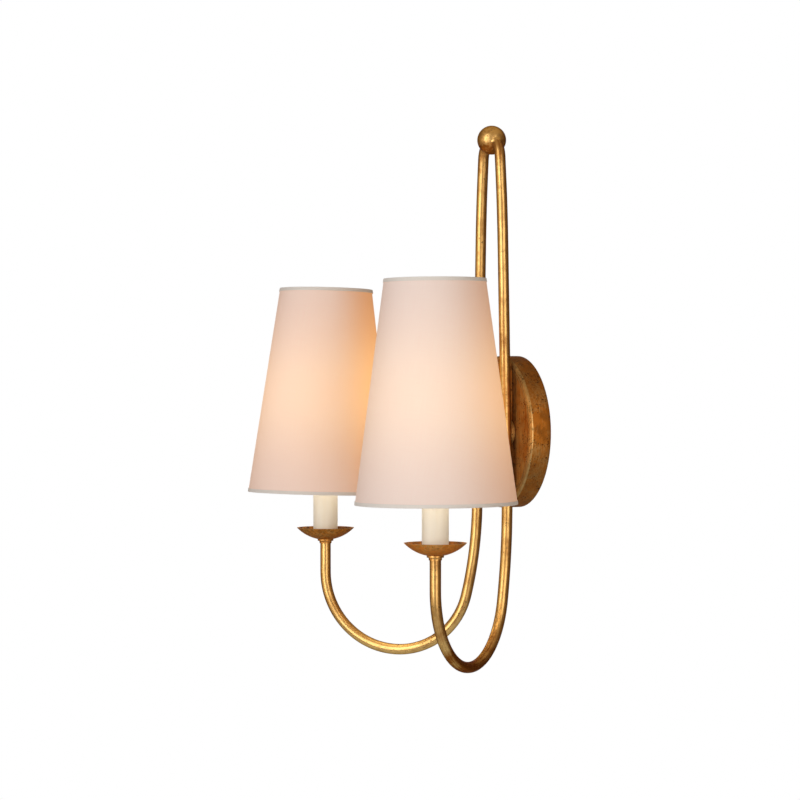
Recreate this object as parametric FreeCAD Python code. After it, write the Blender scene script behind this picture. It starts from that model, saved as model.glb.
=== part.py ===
import FreeCAD, Part

import math
import os

# Double arm wall sconce, in millimetres. The wall is the plane y = 0, the room is at -Y, +Z is up and
# the origin is the centre of the backplate on the wall. Right-hand pieces are made at +X and mirrored.

# ---- backplate, a spun pan that stands open side to the wall
PLATE_DIAMETER = 133.4
PLATE_DEPTH = 19.0
PLATE_WALL = 1.2
PLATE_EDGE_RADIUS = 2.6
PLATE_BEAD_WIDTH = 1.8
PLATE_BEAD_HEIGHT = 0.6

# ---- wall crossbar with its two box-screw slots
CROSSBAR_LENGTH = 104.0
CROSSBAR_WIDTH = 19.0
CROSSBAR_THICKNESS = 1.6
SLOT_SPACING = 79.4
SLOT_LENGTH = 14.0
SLOT_WIDTH = 4.4
EARTH_SCREW_OFFSET = 14.2
EARTH_SCREW_DIAMETER = 4.2
EARTH_HEAD_DIAMETER = 9.0
EARTH_HEAD_HEIGHT = 2.2
EARTH_CROWN_DIAMETER = 7.2
EARTH_SLOT_WIDTH = 1.0
EARTH_SLOT_DEPTH = 1.0

# ---- centre fixing: threaded pipe nipple, locknut behind the plate, dome nut in front
NIPPLE_DIAMETER = 10.3
NIPPLE_BORE = 6.4
NIPPLE_NUT_GRIP = 7.0
LOCKNUT_FLATS = 15.0
LOCKNUT_HEIGHT = 3.0
DOME_NUT_DIAMETER = 16.0
DOME_NUT_BAND = 3.2
DOME_NUT_HEIGHT = 10.4

# ---- bridge bar that ties both arm tubes to the backplate
BRIDGE_OVERHANG = 3.9
BRIDGE_HEIGHT = 22.0
BRIDGE_THICKNESS = 3.0

# ---- arm tube and its route: arch, long bow, straight leg, then the loop up to the cup
TUBE_DIAMETER = 9.525
TUBE_WALL = 1.2
TUBE_STANDOFF = 25.0
BALL_DIAMETER = 25.4
BALL_HEIGHT = 256.4
BALL_SOCKET_TURN = 12.0
ARCH_RADIUS = 17.4
ARCH_END_TILT = 6.5
BOW_RADIUS = 1000.0
LEG_TILT = 2.1
BLEND_RADIUS = 200.0
LOOP_START_DROP = 60.2
FALL_RADIUS = 365.5
FALL_TURN = 13.6
BELLY_RADIUS = 66.05

# ---- candle axis, measured from the backplate's centre
CANDLE_X = 124.1
CANDLE_REACH = 133.9

# ---- drip cup, collar, arm nipple and its nut
CUP_RIM_LEVEL = -88.1
CUP_RIM_DIAMETER = 52.0
CUP_BOWL_RADIUS = 36.0
CUP_WALL = 1.2
CUP_SEAT_DIAMETER = 14.0
COLLAR_DIAMETER = 14.2
COLLAR_FOOT_DIAMETER = 10.9
COLLAR_HEIGHT = 3.8
COLLAR_BAND = 1.5
COLLAR_COVE = 1.3
TUBE_SEAT_DEPTH = 2.4
ARM_NIPPLE_DIAMETER = 9.4
ARM_NIPPLE_BORE = 5.4
ARM_NIPPLE_SPIGOT = 12.0
ARM_NIPPLE_RISE = 6.5
CUP_NUT_FLATS = 11.8
CUP_NUT_HEIGHT = 3.0

# ---- candle sleeve and lampholder
SLEEVE_DIAMETER = 22.2
SLEEVE_BORE = 20.6
SLEEVE_LENGTH = 101.6
SLEEVE_EDGE_RADIUS = 0.35
SOCKET_DIAMETER = 19.2
SOCKET_LENGTH = 35.0
SOCKET_SET_BACK = 2.6
SOCKET_FLOOR = 13.0
SOCKET_GROOVES = (4.0, 6.4)
SOCKET_GROOVE_WIDTH = 0.8
SOCKET_GROOVE_DEPTH = 0.4
SHELL_BORE = 12.6
SHELL_WALL = 0.5
CONTACT_DIAMETER = 6.0
CONTACT_FOOT = 0.8
CONTACT_RIVET_DIAMETER = 3.6
CONTACT_CROWN = 0.6
CONTACT_CLEARANCE = 1.0
STEM_PLATE_DIAMETER = 18.0
STEM_PLATE_THICKNESS = 1.2
STEM_STRIP_WIDTH = 7.0

# ---- candle bulb with its small screw base
BULB_BASE_DIAMETER = 11.9
BULB_BASE_LENGTH = 15.6
BULB_THREADS = 5
BULB_THREAD_DEPTH = 0.45
BULB_THREAD_HEIGHT = 2.1
BULB_THREAD_LEAD = 1.0
BULB_THREAD_LAND = 0.3
BULB_INSULATOR_HEIGHT = 3.6
BULB_TIP_DIAMETER = 4.6
BULB_TIP_HEIGHT = 1.2
BULB_RISE = 1.6
BULB_DIAMETER = 34.8
BULB_GLASS_HEIGHT = 76.0
BULB_WIDEST = 30.5
BULB_WALL = 0.8
BULB_NECK_DIAMETER = 12.4
BULB_TIP_RADIUS = 4.0
BULB_STEM_FOOT_DIAMETER = 9.6
BULB_STEM_WAIST_DIAMETER = 4.8
BULB_STEM_TOP_DIAMETER = 3.8
BULB_STEM_HEIGHT = 18.0
FILAMENT_DIAMETER = 1.6
FILAMENT_LENGTH = 27.0
FILAMENT_COUNT = 4
FILAMENT_FOOT_RISE = 0.6
FILAMENT_FOOT_RADIUS = 3.4
FILAMENT_HEAD_RADIUS = 6.4
SUPPORT_WIRE_DIAMETER = 0.7
SUPPORT_WIRE_ROOT = 1.0
SUPPORT_WIRE_SPREAD = 0.9
SUPPORT_WIRE_DROP = 2.0
SUPPORT_BEAD_DIAMETER = 2.8

# ---- shade: laminated linen cone on two wire rings, bound at both edges
SHADE_BOTTOM_LEVEL = -56.8
SHADE_HEIGHT = 185.0
SHADE_BOTTOM_DIAMETER = 134.4
SHADE_TOP_DIAMETER = 84.5
SHADE_THICKNESS = 0.9
RING_WIRE_DIAMETER = 2.4
TRIM_HEIGHT = 3.2
TRIM_THICKNESS = 0.5

# ---- how each shade rocks on its clip, in degrees, positive where its top leans into the room
RIGHT_SHADE_LEAN = 0.3
LEFT_SHADE_LEAN = -1.4

# ---- bulb clip and the three spokes that hang the shade on it
CLIP_WIRE_DIAMETER = 1.5
CLIP_HALF_WIDTH = 8.0
CLIP_REACH_BELOW = 4.0
CLIP_SHOULDER_RISE = 14.0
CLIP_CORNER_RADIUS = 4.0
CLIP_ROOT_HALF_WIDTH = 2.8
HUB_DIAMETER = 14.0
HUB_CLEAR_OF_TIP = 7.0
WASHER_DIAMETER = 17.0
WASHER_BORE = 9.0
WASHER_THICKNESS = 1.0
SPOKE_COUNT = 3
SPOKE_WIRE_DIAMETER = 2.0
SPOKE_FIRST_ANGLE = 90.0
SPOKE_FLAT = 6.0
SPOKE_HOOK_REACH = 5.0
SPOKE_HOOK_RISE = 2.4
SPOKE_CORNER_RADIUS = 4.0

# ---- leads inside the arms, their conductors and the wire nuts
LEAD_DIAMETER = 4.6
LEAD_BEND = 8.0
LEAD_ENTRY_DROP = 4.0
LEAD_SET_BACK = 2.0
LEAD_TAIL = 2.0
CONDUCTOR_DIAMETER = 1.9
CONDUCTOR_BEND = 5.0
CONDUCTOR_SWEEP = 10.0
CONDUCTOR_TURN = 45.0
CONDUCTOR_GAP = 2.4
CONDUCTOR_END = 8.0
WIRE_NUT_DIAMETER = 11.0
WIRE_NUT_TIP_DIAMETER = 6.0
WIRE_NUT_LENGTH = 20.0
WIRE_NUT_SKIRT = 6.0
WIRE_NUT_FLUTES = 8
WIRE_NUT_FLUTE_RADIUS = 0.8
WIRE_NUT_FLUTE_START = 3.0
WIRE_NUT_MOUTH = 6.4
WIRE_NUT_MOUTH_DEPTH = 5.0
EARTH_WIRE_DIAMETER = 1.8
EARTH_WIRE_TAIL = 6.0
EARTH_WIRE_BEND = 3.6
EARTH_NUT_X = -34.0
EARTH_NUT_LEVEL = 20.0

# ---- clearances
SEAT_GAP = 0.3
FIT = 0.05
HOLE_CLEARANCE = 0.6

ORIGIN = FreeCAD.Vector(0, 0, 0)
X = FreeCAD.Vector(1, 0, 0)
Y = FreeCAD.Vector(0, 1, 0)
Z = FreeCAD.Vector(0, 0, 1)


# ---------------------------------------------------------------- shape helpers
def outline(start, *steps):
    """Closed wire in the XZ plane: a step of one (x, z) pair is a line, of two pairs an arc."""
    here = FreeCAD.Vector(start[0], 0, start[1])
    first = here
    edges = []
    for step in steps:
        points = [FreeCAD.Vector(pair[0], 0, pair[1]) for pair in step]
        if len(points) == 1:
            edges.append(Part.LineSegment(here, points[0]).toShape())
        else:
            edges.append(Part.Arc(here, points[0], points[1]).toShape())
        here = points[-1]
    if here.distanceToPoint(first) > 1e-6:
        edges.append(Part.LineSegment(here, first).toShape())
    return Part.Wire(edges)


def turned(start, *steps):
    """Solid of revolution about Z from an outline of (radius, height) pairs."""
    solid = Part.Face(outline(start, *steps)).revolve(ORIGIN, Z, 360)
    return solid if solid.ShapeType == "Solid" else Part.Solid(solid.Shells[0])


def on_circle(centre, radius, angle):
    """Point of a circle in the (radius, height) plane at an angle above the horizontal."""
    return (centre[0] + radius * math.cos(angle), centre[1] + radius * math.sin(angle))


def dome(radius, base, top):
    """Arc step over the axis, from (radius, base) up or down to (0, top), on a sphere about the axis."""
    height = abs(top - base)
    sphere = (radius ** 2 + height ** 2) / (2 * height)
    half_angle = math.atan2(radius, sphere - height) / 2
    drop = sphere * (1 - math.cos(half_angle)) * (1 if top > base else -1)
    return [(sphere * math.sin(half_angle), top - drop), (0, top)]


def tube(outer, bore, low, high):
    """Straight hollow cylinder about Z, from two diameters and two levels."""
    body = Part.makeCylinder(outer / 2, high - low, FreeCAD.Vector(0, 0, low))
    return body.cut(Part.makeCylinder(bore / 2, high - low, FreeCAD.Vector(0, 0, low)))


def hexagon(flats, bore, low, high):
    """Hexagonal nut about Z, from its size over flats, its bore and two levels."""
    corner = flats / math.sqrt(3)
    points = []
    for index in range(7):
        angle = math.radians(60 * index)
        points.append(FreeCAD.Vector(corner * math.cos(angle), corner * math.sin(angle), low))
    body = Part.Face(Part.makePolygon(points)).extrude(Z * (high - low))
    return body.cut(Part.makeCylinder(bore / 2, high - low, FreeCAD.Vector(0, 0, low)))


def stadium(length, height, thickness):
    """Plate with round ends, lying in XY with its length along X, from z = 0 up."""
    radius = height / 2
    reach = length / 2 - radius
    middle = Part.makeBox(2 * reach, height, thickness, FreeCAD.Vector(-reach, -radius, 0))
    ends = [Part.makeCylinder(radius, thickness, FreeCAD.Vector(side * reach, 0, 0)) for side in (-1, 1)]
    return middle.fuse(ends).removeSplitter()


def on_wall(shape):
    """Turn a shape made about Z so that its +Z points out of the wall, along -Y."""
    return shape.rotated(ORIGIN, X, 90)


def on_candle(shape):
    """Move a shape made about Z onto the right-hand candle axis."""
    return shape.translated(FreeCAD.Vector(CANDLE_X, -CANDLE_REACH, 0))


def mirrored(shape):
    """The left-hand copy of a right-hand shape."""
    return shape.mirror(ORIGIN, X)


def as_solid(shape):
    """The one solid that a boolean result holds."""
    return shape.Solids[0] if len(shape.Solids) == 1 else shape


class Route:
    """A path of straight runs and tangent arcs, with the side that its next arc bends towards."""

    def __init__(self, point, along, side):
        self.point = point
        self.along = along
        self.side = side
        self.edges = []

    def at(self, radius, turn):
        ahead = self.along * (radius * math.sin(turn))
        return self.point + ahead + self.side * (radius * (1 - math.cos(turn)))

    def bend(self, radius, degrees, drawn=True):
        turn = math.radians(degrees)
        end = self.at(radius, turn)
        if drawn:
            self.edges.append(Part.Arc(self.point, self.at(radius, turn / 2), end).toShape())
        along = self.along * math.cos(turn) + self.side * math.sin(turn)
        self.side = self.side * math.cos(turn) - self.along * math.sin(turn)
        self.along = along
        self.point = end
        return self

    def run(self, length):
        end = self.point + self.along * length
        self.edges.append(Part.LineSegment(self.point, end).toShape())
        self.point = end
        return self

    def towards(self, side):
        self.side = side
        return self

    def pipe(self, diameter):
        return bar_along(self.edges, diameter)


def bar_along(edges, diameter):
    """Round bar of the given diameter along a path of edges."""
    start = edges[0]
    profile = Part.Wire(Part.makeCircle(diameter / 2, start.valueAt(start.FirstParameter),
                                        start.tangentAt(start.FirstParameter)))
    return as_solid(Part.Wire(edges).makePipeShell([profile], True, False))


def rounded_path(points, radius):
    """Edges of a path through points, each inner corner rounded to the radius."""
    edges = []
    here = points[0]
    for before, corner, after in zip(points, points[1:], points[2:]):
        back = (before - corner).normalize()
        ahead = (after - corner).normalize()
        half_angle = math.acos(back.dot(ahead)) / 2
        cut = radius / math.tan(half_angle)
        middle = (back + ahead).normalize()
        centre = corner + middle * (radius / math.sin(half_angle))
        edges.append(Part.LineSegment(here, corner + back * cut).toShape())
        edges.append(Part.Arc(corner + back * cut, centre - middle * radius, corner + ahead * cut).toShape())
        here = corner + ahead * cut
    edges.append(Part.LineSegment(here, points[-1]).toShape())
    return edges


# ---------------------------------------------------------------- levels and places that follow
PLATE_RADIUS = PLATE_DIAMETER / 2
PLATE_FACE = PLATE_DEPTH - PLATE_BEAD_HEIGHT
TUBE_BORE = TUBE_DIAMETER - 2 * TUBE_WALL
BRIDGE_FRONT = PLATE_FACE + BRIDGE_THICKNESS

BOWL_CENTRE = CUP_RIM_LEVEL + math.sqrt(CUP_BOWL_RADIUS ** 2 - (CUP_RIM_DIAMETER / 2) ** 2)
CUP_SEAT = BOWL_CENTRE - math.sqrt(CUP_BOWL_RADIUS ** 2 - (CUP_SEAT_DIAMETER / 2) ** 2)
CUP_FLOOR = CUP_SEAT + CUP_WALL
BOWL_BORE_RADIUS = CUP_BOWL_RADIUS - CUP_WALL
TUBE_TOP = CUP_SEAT - COLLAR_HEIGHT + TUBE_SEAT_DEPTH
CUP_NUT_TOP = CUP_FLOOR + CUP_NUT_HEIGHT
SLEEVE_BOTTOM = BOWL_CENTRE - math.sqrt(BOWL_BORE_RADIUS ** 2 - (SLEEVE_DIAMETER / 2) ** 2) + SEAT_GAP
SLEEVE_TOP = SLEEVE_BOTTOM + SLEEVE_LENGTH
SOCKET_TOP = SLEEVE_TOP - SOCKET_SET_BACK
SOCKET_BOTTOM = SOCKET_TOP - SOCKET_LENGTH
SOCKET_CAVITY = SOCKET_BOTTOM + SOCKET_FLOOR
BULB_SEAT = SOCKET_TOP + BULB_RISE
BULB_BASE_BOTTOM = BULB_SEAT - BULB_BASE_LENGTH
BULB_CONTACT = BULB_BASE_BOTTOM - BULB_INSULATOR_HEIGHT - BULB_TIP_HEIGHT
BULB_TOP = BULB_SEAT + BULB_GLASS_HEIGHT
CLIP_DISTANCE = BULB_DIAMETER / 2 + SEAT_GAP + CLIP_WIRE_DIAMETER / 2
HUB_LEVEL = BULB_TOP + HUB_CLEAR_OF_TIP
SHADE_TOP_LEVEL = SHADE_BOTTOM_LEVEL + SHADE_HEIGHT
SHADE_TAPER = (SHADE_BOTTOM_DIAMETER - SHADE_TOP_DIAMETER) / 2 / SHADE_HEIGHT


def arm_start():
    """Arm route from the end of the tube inside the ball, heading outwards and bending down."""
    apex = FreeCAD.Vector(0, -TUBE_STANDOFF, BALL_HEIGHT)
    return Route(apex, X, -Z).bend(ARCH_RADIUS, BALL_SOCKET_TURN, drawn=False)


def follow_loop(route, top):
    """Carry a route that heads down the leg round the loop and up the candle axis to a level."""
    blend_start = -LOOP_START_DROP + BLEND_RADIUS * math.sin(math.radians(LEG_TILT))
    route.run((route.point.z - blend_start) / math.cos(math.radians(LEG_TILT)))
    route.bend(BLEND_RADIUS, LEG_TILT)
    across = FreeCAD.Vector(CANDLE_X, -CANDLE_REACH, 0) - FreeCAD.Vector(route.point.x, route.point.y, 0)
    fall = math.radians(FALL_TURN)
    rise_radius = across.Length - FALL_RADIUS * (1 - math.cos(fall)) - BELLY_RADIUS * math.cos(fall)
    route.towards(across.normalize())
    route.bend(FALL_RADIUS, FALL_TURN)
    route.bend(BELLY_RADIUS, 90 - FALL_TURN)
    route.bend(rise_radius, 90)
    return route.run(top - route.point.z)


def bow_route():
    """Arm route over the arch and down the bow, to where the straight leg starts."""
    route = arm_start().bend(ARCH_RADIUS, 90 - BALL_SOCKET_TURN - ARCH_END_TILT)
    return route.bend(BOW_RADIUS, ARCH_END_TILT - LEG_TILT)


def leg_reach(level):
    """How far out the leg's centreline lies at a height."""
    leg = bow_route()
    return (leg.point + leg.along * ((level - leg.point.z) / leg.along.z)).x


def arm_route():
    """Whole centreline of the right-hand arm tube."""
    return follow_loop(bow_route(), TUBE_TOP)


def lead_entry():
    """First stretch of the right-hand lead: from the hollow through plate and bridge into the tube."""
    leg = bow_route()
    drop = (leg.point.z + LEAD_ENTRY_DROP) / math.cos(math.radians(LEG_TILT))
    turn_in = leg.point + leg.along * (drop - LEAD_BEND) + Y * LEAD_BEND
    turn_out = -PLATE_FACE + PLATE_WALL + LEAD_SET_BACK
    straight = turn_out - turn_in.y
    start = turn_in + Y * (straight + LEAD_BEND) - X * (LEAD_BEND + LEAD_TAIL)
    route = Route(start, X, -Y).run(LEAD_TAIL).bend(LEAD_BEND, 90).run(straight)
    return route.towards(leg.along).bend(LEAD_BEND, 90).towards(leg.side)


def lead_route():
    """Right-hand lead: in through the backplate, round the arm's loop and up to the lampholder."""
    return follow_loop(lead_entry(), SOCKET_BOTTOM)


ARM_BAR = arm_route().pipe(TUBE_DIAMETER)
ARM_CLEARANCE = arm_route().pipe(TUBE_DIAMETER + 2 * FIT)
LEAD = lead_route().pipe(LEAD_DIAMETER)
LEAD_HOLE = lead_entry().pipe(LEAD_DIAMETER + HOLE_CLEARANCE)
LEAD_START = lead_entry().edges[0].Vertexes[0].Point


def both_sides(shape):
    """A right-hand shape together with its mirror image, as cutting tools."""
    return [shape, mirrored(shape)]


# ---------------------------------------------------------------- fixed centre pieces
def backplate():
    rim = PLATE_RADIUS
    edge = PLATE_EDGE_RADIUS
    inner_edge = edge - PLATE_WALL
    bead_radius = (PLATE_BEAD_WIDTH ** 2 + PLATE_BEAD_HEIGHT ** 2) / (2 * PLATE_BEAD_HEIGHT)
    bead_centre = (rim - edge, PLATE_DEPTH - bead_radius)
    bead_turn = math.asin(PLATE_BEAD_WIDTH / bead_radius)
    slant = edge * (1 - math.sqrt(0.5))
    inner_slant = inner_edge * (1 - math.sqrt(0.5))
    face = turned(
        (rim - PLATE_WALL, 0),
        [(rim, 0)],
        [(rim, PLATE_DEPTH - edge)],
        [(rim - slant, PLATE_DEPTH - slant), (rim - edge, PLATE_DEPTH)],
        [on_circle(bead_centre, bead_radius, (math.pi + bead_turn) / 2),
         (rim - edge - PLATE_BEAD_WIDTH, PLATE_FACE)],
        [(0, PLATE_FACE)],
        [(0, PLATE_FACE - PLATE_WALL)],
        [(rim - edge, PLATE_FACE - PLATE_WALL)],
        [(rim - PLATE_WALL - inner_slant, PLATE_FACE - PLATE_WALL - inner_slant),
         (rim - PLATE_WALL, PLATE_FACE - PLATE_WALL - inner_edge)],
    )
    hole = Part.makeCylinder(NIPPLE_DIAMETER / 2 + FIT, PLATE_DEPTH)
    return on_wall(face.cut(hole)).cut(both_sides(LEAD_HOLE))


def wall_crossbar():
    bar = stadium(CROSSBAR_LENGTH, CROSSBAR_WIDTH, CROSSBAR_THICKNESS)
    slot = stadium(SLOT_LENGTH, SLOT_WIDTH, CROSSBAR_THICKNESS)
    slots = [slot.translated(X * (side * SLOT_SPACING / 2)) for side in (-1, 1)]
    centre = Part.makeCylinder(NIPPLE_DIAMETER / 2 + FIT, CROSSBAR_THICKNESS)
    earth = Part.makeCylinder(EARTH_SCREW_DIAMETER / 2 + FIT, CROSSBAR_THICKNESS)
    earth.translate(-X * EARTH_SCREW_OFFSET)
    return on_wall(bar.cut(slots + [centre, earth]))


def earth_screw():
    head_foot = CROSSBAR_THICKNESS + EARTH_WIRE_DIAMETER
    shank = Part.makeCylinder(EARTH_SCREW_DIAMETER / 2, head_foot)
    flange = Part.makeCylinder(EARTH_HEAD_DIAMETER / 2, EARTH_HEAD_HEIGHT / 2, Z * head_foot)
    crown = Part.makeCylinder(EARTH_CROWN_DIAMETER / 2, EARTH_HEAD_HEIGHT, Z * head_foot)
    slot = Part.makeBox(EARTH_HEAD_DIAMETER, EARTH_SLOT_WIDTH, EARTH_SLOT_DEPTH)
    slot.translate(FreeCAD.Vector(-EARTH_HEAD_DIAMETER / 2, -EARTH_SLOT_WIDTH / 2,
                                  head_foot + EARTH_HEAD_HEIGHT - EARTH_SLOT_DEPTH))
    screw = shank.fuse([flange, crown]).cut(slot).removeSplitter()
    return on_wall(screw).translated(-X * EARTH_SCREW_OFFSET)


def centre_nipple():
    return on_wall(tube(NIPPLE_DIAMETER, NIPPLE_BORE, 0, BRIDGE_FRONT + NIPPLE_NUT_GRIP))


def crossbar_locknut():
    foot = CROSSBAR_THICKNESS
    return on_wall(hexagon(LOCKNUT_FLATS, NIPPLE_DIAMETER + 2 * FIT, foot, foot + LOCKNUT_HEIGHT))


def dome_nut():
    radius = DOME_NUT_DIAMETER / 2
    top = BRIDGE_FRONT + DOME_NUT_HEIGHT
    shoulder = BRIDGE_FRONT + DOME_NUT_BAND
    bore = NIPPLE_DIAMETER / 2 + FIT
    bore_end = BRIDGE_FRONT + NIPPLE_NUT_GRIP + SEAT_GAP
    return on_wall(turned(
        (bore, BRIDGE_FRONT),
        [(radius, BRIDGE_FRONT)],
        [(radius, shoulder)],
        dome(radius, shoulder, top),
        [(0, bore_end)],
        [(bore, bore_end)],
    ))


def bridge_bar():
    length = 2 * (leg_reach(0) + BRIDGE_OVERHANG)
    bar = stadium(length, BRIDGE_HEIGHT, BRIDGE_THICKNESS).translated(Z * PLATE_FACE)
    hole = Part.makeCylinder(NIPPLE_DIAMETER / 2 + FIT, BRIDGE_THICKNESS, Z * PLATE_FACE)
    return on_wall(bar.cut(hole)).cut(both_sides(ARM_CLEARANCE) + both_sides(LEAD_HOLE))


def finial_ball():
    ball = Part.makeSphere(BALL_DIAMETER / 2, FreeCAD.Vector(0, -TUBE_STANDOFF, BALL_HEIGHT))
    return ball.cut(both_sides(ARM_CLEARANCE))


# ---------------------------------------------------------------- wiring inside the backplate
def conductor(up):
    """One right-hand conductor from the jacket's end to its wire nut, up or down."""
    side = Z * up
    start = LEAD_START + side * (CONDUCTOR_DIAMETER / 2 + FIT)
    route = Route(start, -X, side).bend(CONDUCTOR_BEND, 90)
    shift = route.point.x - CONDUCTOR_GAP / 2
    turn = math.radians(CONDUCTOR_TURN)
    slant = (shift - 2 * CONDUCTOR_SWEEP * (1 - math.cos(turn))) / math.sin(turn)
    route.towards(-X).bend(CONDUCTOR_SWEEP, CONDUCTOR_TURN).run(slant)
    route.side = route.side * -1
    route.bend(CONDUCTOR_SWEEP, CONDUCTOR_TURN).run(CONDUCTOR_END)
    return route


def conductor_pair(up):
    right = conductor(up).pipe(CONDUCTOR_DIAMETER)
    return Part.makeCompound([right, mirrored(right)])


def wire_nut():
    """Tapered wire nut about Z with its mouth at z = 0 and grip flutes round its taper."""
    mouth = WIRE_NUT_MOUTH / 2
    body = turned(
        (mouth, 0),
        [(WIRE_NUT_DIAMETER / 2, 0)],
        [(WIRE_NUT_DIAMETER / 2, WIRE_NUT_SKIRT)],
        [(WIRE_NUT_TIP_DIAMETER / 2, WIRE_NUT_LENGTH)],
        [(0, WIRE_NUT_LENGTH)],
        [(0, WIRE_NUT_MOUTH_DEPTH)],
        [(mouth, WIRE_NUT_MOUTH_DEPTH)],
    )
    flutes = []
    corner = FreeCAD.Vector(WIRE_NUT_DIAMETER / 2, 0, WIRE_NUT_FLUTE_START)
    for index in range(WIRE_NUT_FLUTES):
        flute = Part.makeCylinder(WIRE_NUT_FLUTE_RADIUS, WIRE_NUT_LENGTH, corner)
        flutes.append(flute.rotated(ORIGIN, Z, 360 / WIRE_NUT_FLUTES * index))
    return body.cut(flutes)


def wire_nuts():
    """Line nut above, neutral nut below and the earth nut at the left."""
    nuts = []
    for up in (1, -1):
        end = conductor(up).point
        nut = wire_nut() if up > 0 else wire_nut().rotated(ORIGIN, X, 180)
        seat = end - Z * (up * (WIRE_NUT_MOUTH_DEPTH - SEAT_GAP))
        nuts.append(nut.translated(FreeCAD.Vector(0, seat.y, seat.z)))
    nuts.append(wire_nut().translated(FreeCAD.Vector(EARTH_NUT_X, LEAD_START.y, EARTH_NUT_LEVEL)))
    return Part.makeCompound(nuts)


def earth_wire():
    """Bare earth wire: hooked under the earth screw's head, then up into its own wire nut."""
    level = -CROSSBAR_THICKNESS - EARTH_WIRE_DIAMETER / 2
    hook = EARTH_SCREW_DIAMETER / 2 + EARTH_WIRE_DIAMETER / 2 + FIT
    top = EARTH_NUT_LEVEL + WIRE_NUT_MOUTH_DEPTH - SEAT_GAP
    start = FreeCAD.Vector(-EARTH_SCREW_OFFSET + hook, level, 0)
    route = Route(start, -Z, -X).bend(hook, 180).run(EARTH_WIRE_TAIL)
    points = [route.point, route.point + Z * hook,
              FreeCAD.Vector(EARTH_NUT_X, LEAD_START.y, EARTH_NUT_LEVEL - hook),
              FreeCAD.Vector(EARTH_NUT_X, LEAD_START.y, top)]
    return bar_along(route.edges + rounded_path(points, EARTH_WIRE_BEND), EARTH_WIRE_DIAMETER)


# ---------------------------------------------------------------- arm pieces, right-hand
def arm_tube():
    bore = arm_route().pipe(TUBE_BORE)
    return as_solid(ARM_BAR.cut([bore, LEAD_HOLE]))


def arm_collar():
    foot = CUP_SEAT - COLLAR_HEIGHT
    hole = ARM_NIPPLE_DIAMETER / 2 + FIT
    socket = TUBE_DIAMETER / 2 + FIT
    band = CUP_SEAT - COLLAR_BAND
    neck = COLLAR_FOOT_DIAMETER / 2
    cove_centre = (neck + COLLAR_COVE, band - COLLAR_COVE)
    return on_candle(turned(
        (hole, CUP_SEAT),
        [(COLLAR_DIAMETER / 2, CUP_SEAT)],
        [(COLLAR_DIAMETER / 2, band)],
        [(neck + COLLAR_COVE, band)],
        [on_circle(cove_centre, COLLAR_COVE, math.radians(135)), (neck, band - COLLAR_COVE)],
        [(neck, foot)],
        [(socket, foot)],
        [(socket, TUBE_TOP)],
        [(hole, TUBE_TOP)],
    ))


def arm_nipple():
    spigot = tube(TUBE_BORE - 2 * FIT, ARM_NIPPLE_BORE, TUBE_TOP - ARM_NIPPLE_SPIGOT, TUBE_TOP)
    thread = tube(ARM_NIPPLE_DIAMETER, ARM_NIPPLE_BORE, TUBE_TOP, CUP_NUT_TOP + ARM_NIPPLE_RISE)
    return on_candle(spigot.fuse(thread).removeSplitter())


def bowl_level(radius, bowl_radius):
    """Height of the bowl's surface at a radius from the candle axis."""
    return BOWL_CENTRE - math.sqrt(bowl_radius ** 2 - radius ** 2)


def drip_cup():
    rim = CUP_RIM_DIAMETER / 2
    seat = CUP_SEAT_DIAMETER / 2
    inner_rim = math.sqrt(BOWL_BORE_RADIUS ** 2 - (BOWL_CENTRE - CUP_RIM_LEVEL) ** 2)
    floor = math.sqrt(BOWL_BORE_RADIUS ** 2 - (BOWL_CENTRE - CUP_FLOOR) ** 2)
    outer_middle = (rim + seat) / 2
    inner_middle = (inner_rim + floor) / 2
    hole = ARM_NIPPLE_DIAMETER / 2 + FIT
    return on_candle(turned(
        (hole, CUP_SEAT),
        [(seat, CUP_SEAT)],
        [(outer_middle, bowl_level(outer_middle, CUP_BOWL_RADIUS)), (rim, CUP_RIM_LEVEL)],
        [(inner_rim, CUP_RIM_LEVEL)],
        [(inner_middle, bowl_level(inner_middle, BOWL_BORE_RADIUS)), (floor, CUP_FLOOR)],
        [(hole, CUP_FLOOR)],
    ))


def cup_nut():
    return on_candle(hexagon(CUP_NUT_FLATS, ARM_NIPPLE_DIAMETER + 2 * FIT, CUP_FLOOR, CUP_NUT_TOP))


def socket_stem():
    """Steel bracket: ring plate on the nipple, one upright strip, ring plate under the lampholder."""
    hole = ARM_NIPPLE_DIAMETER + 2 * FIT
    low = tube(STEM_PLATE_DIAMETER, hole, CUP_NUT_TOP, CUP_NUT_TOP + STEM_PLATE_THICKNESS)
    high = tube(STEM_PLATE_DIAMETER, LEAD_DIAMETER + HOLE_CLEARANCE,
                SOCKET_BOTTOM - STEM_PLATE_THICKNESS, SOCKET_BOTTOM)
    outer = STEM_PLATE_DIAMETER / 2
    strip = Part.makeBox(outer, STEM_STRIP_WIDTH, SOCKET_BOTTOM - CUP_NUT_TOP,
                         FreeCAD.Vector(0, -STEM_STRIP_WIDTH / 2, CUP_NUT_TOP))
    wall = tube(2 * outer, 2 * (outer - STEM_PLATE_THICKNESS), CUP_NUT_TOP, SOCKET_BOTTOM)
    return on_candle(low.fuse([high, strip.common(wall)]).removeSplitter())


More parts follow.
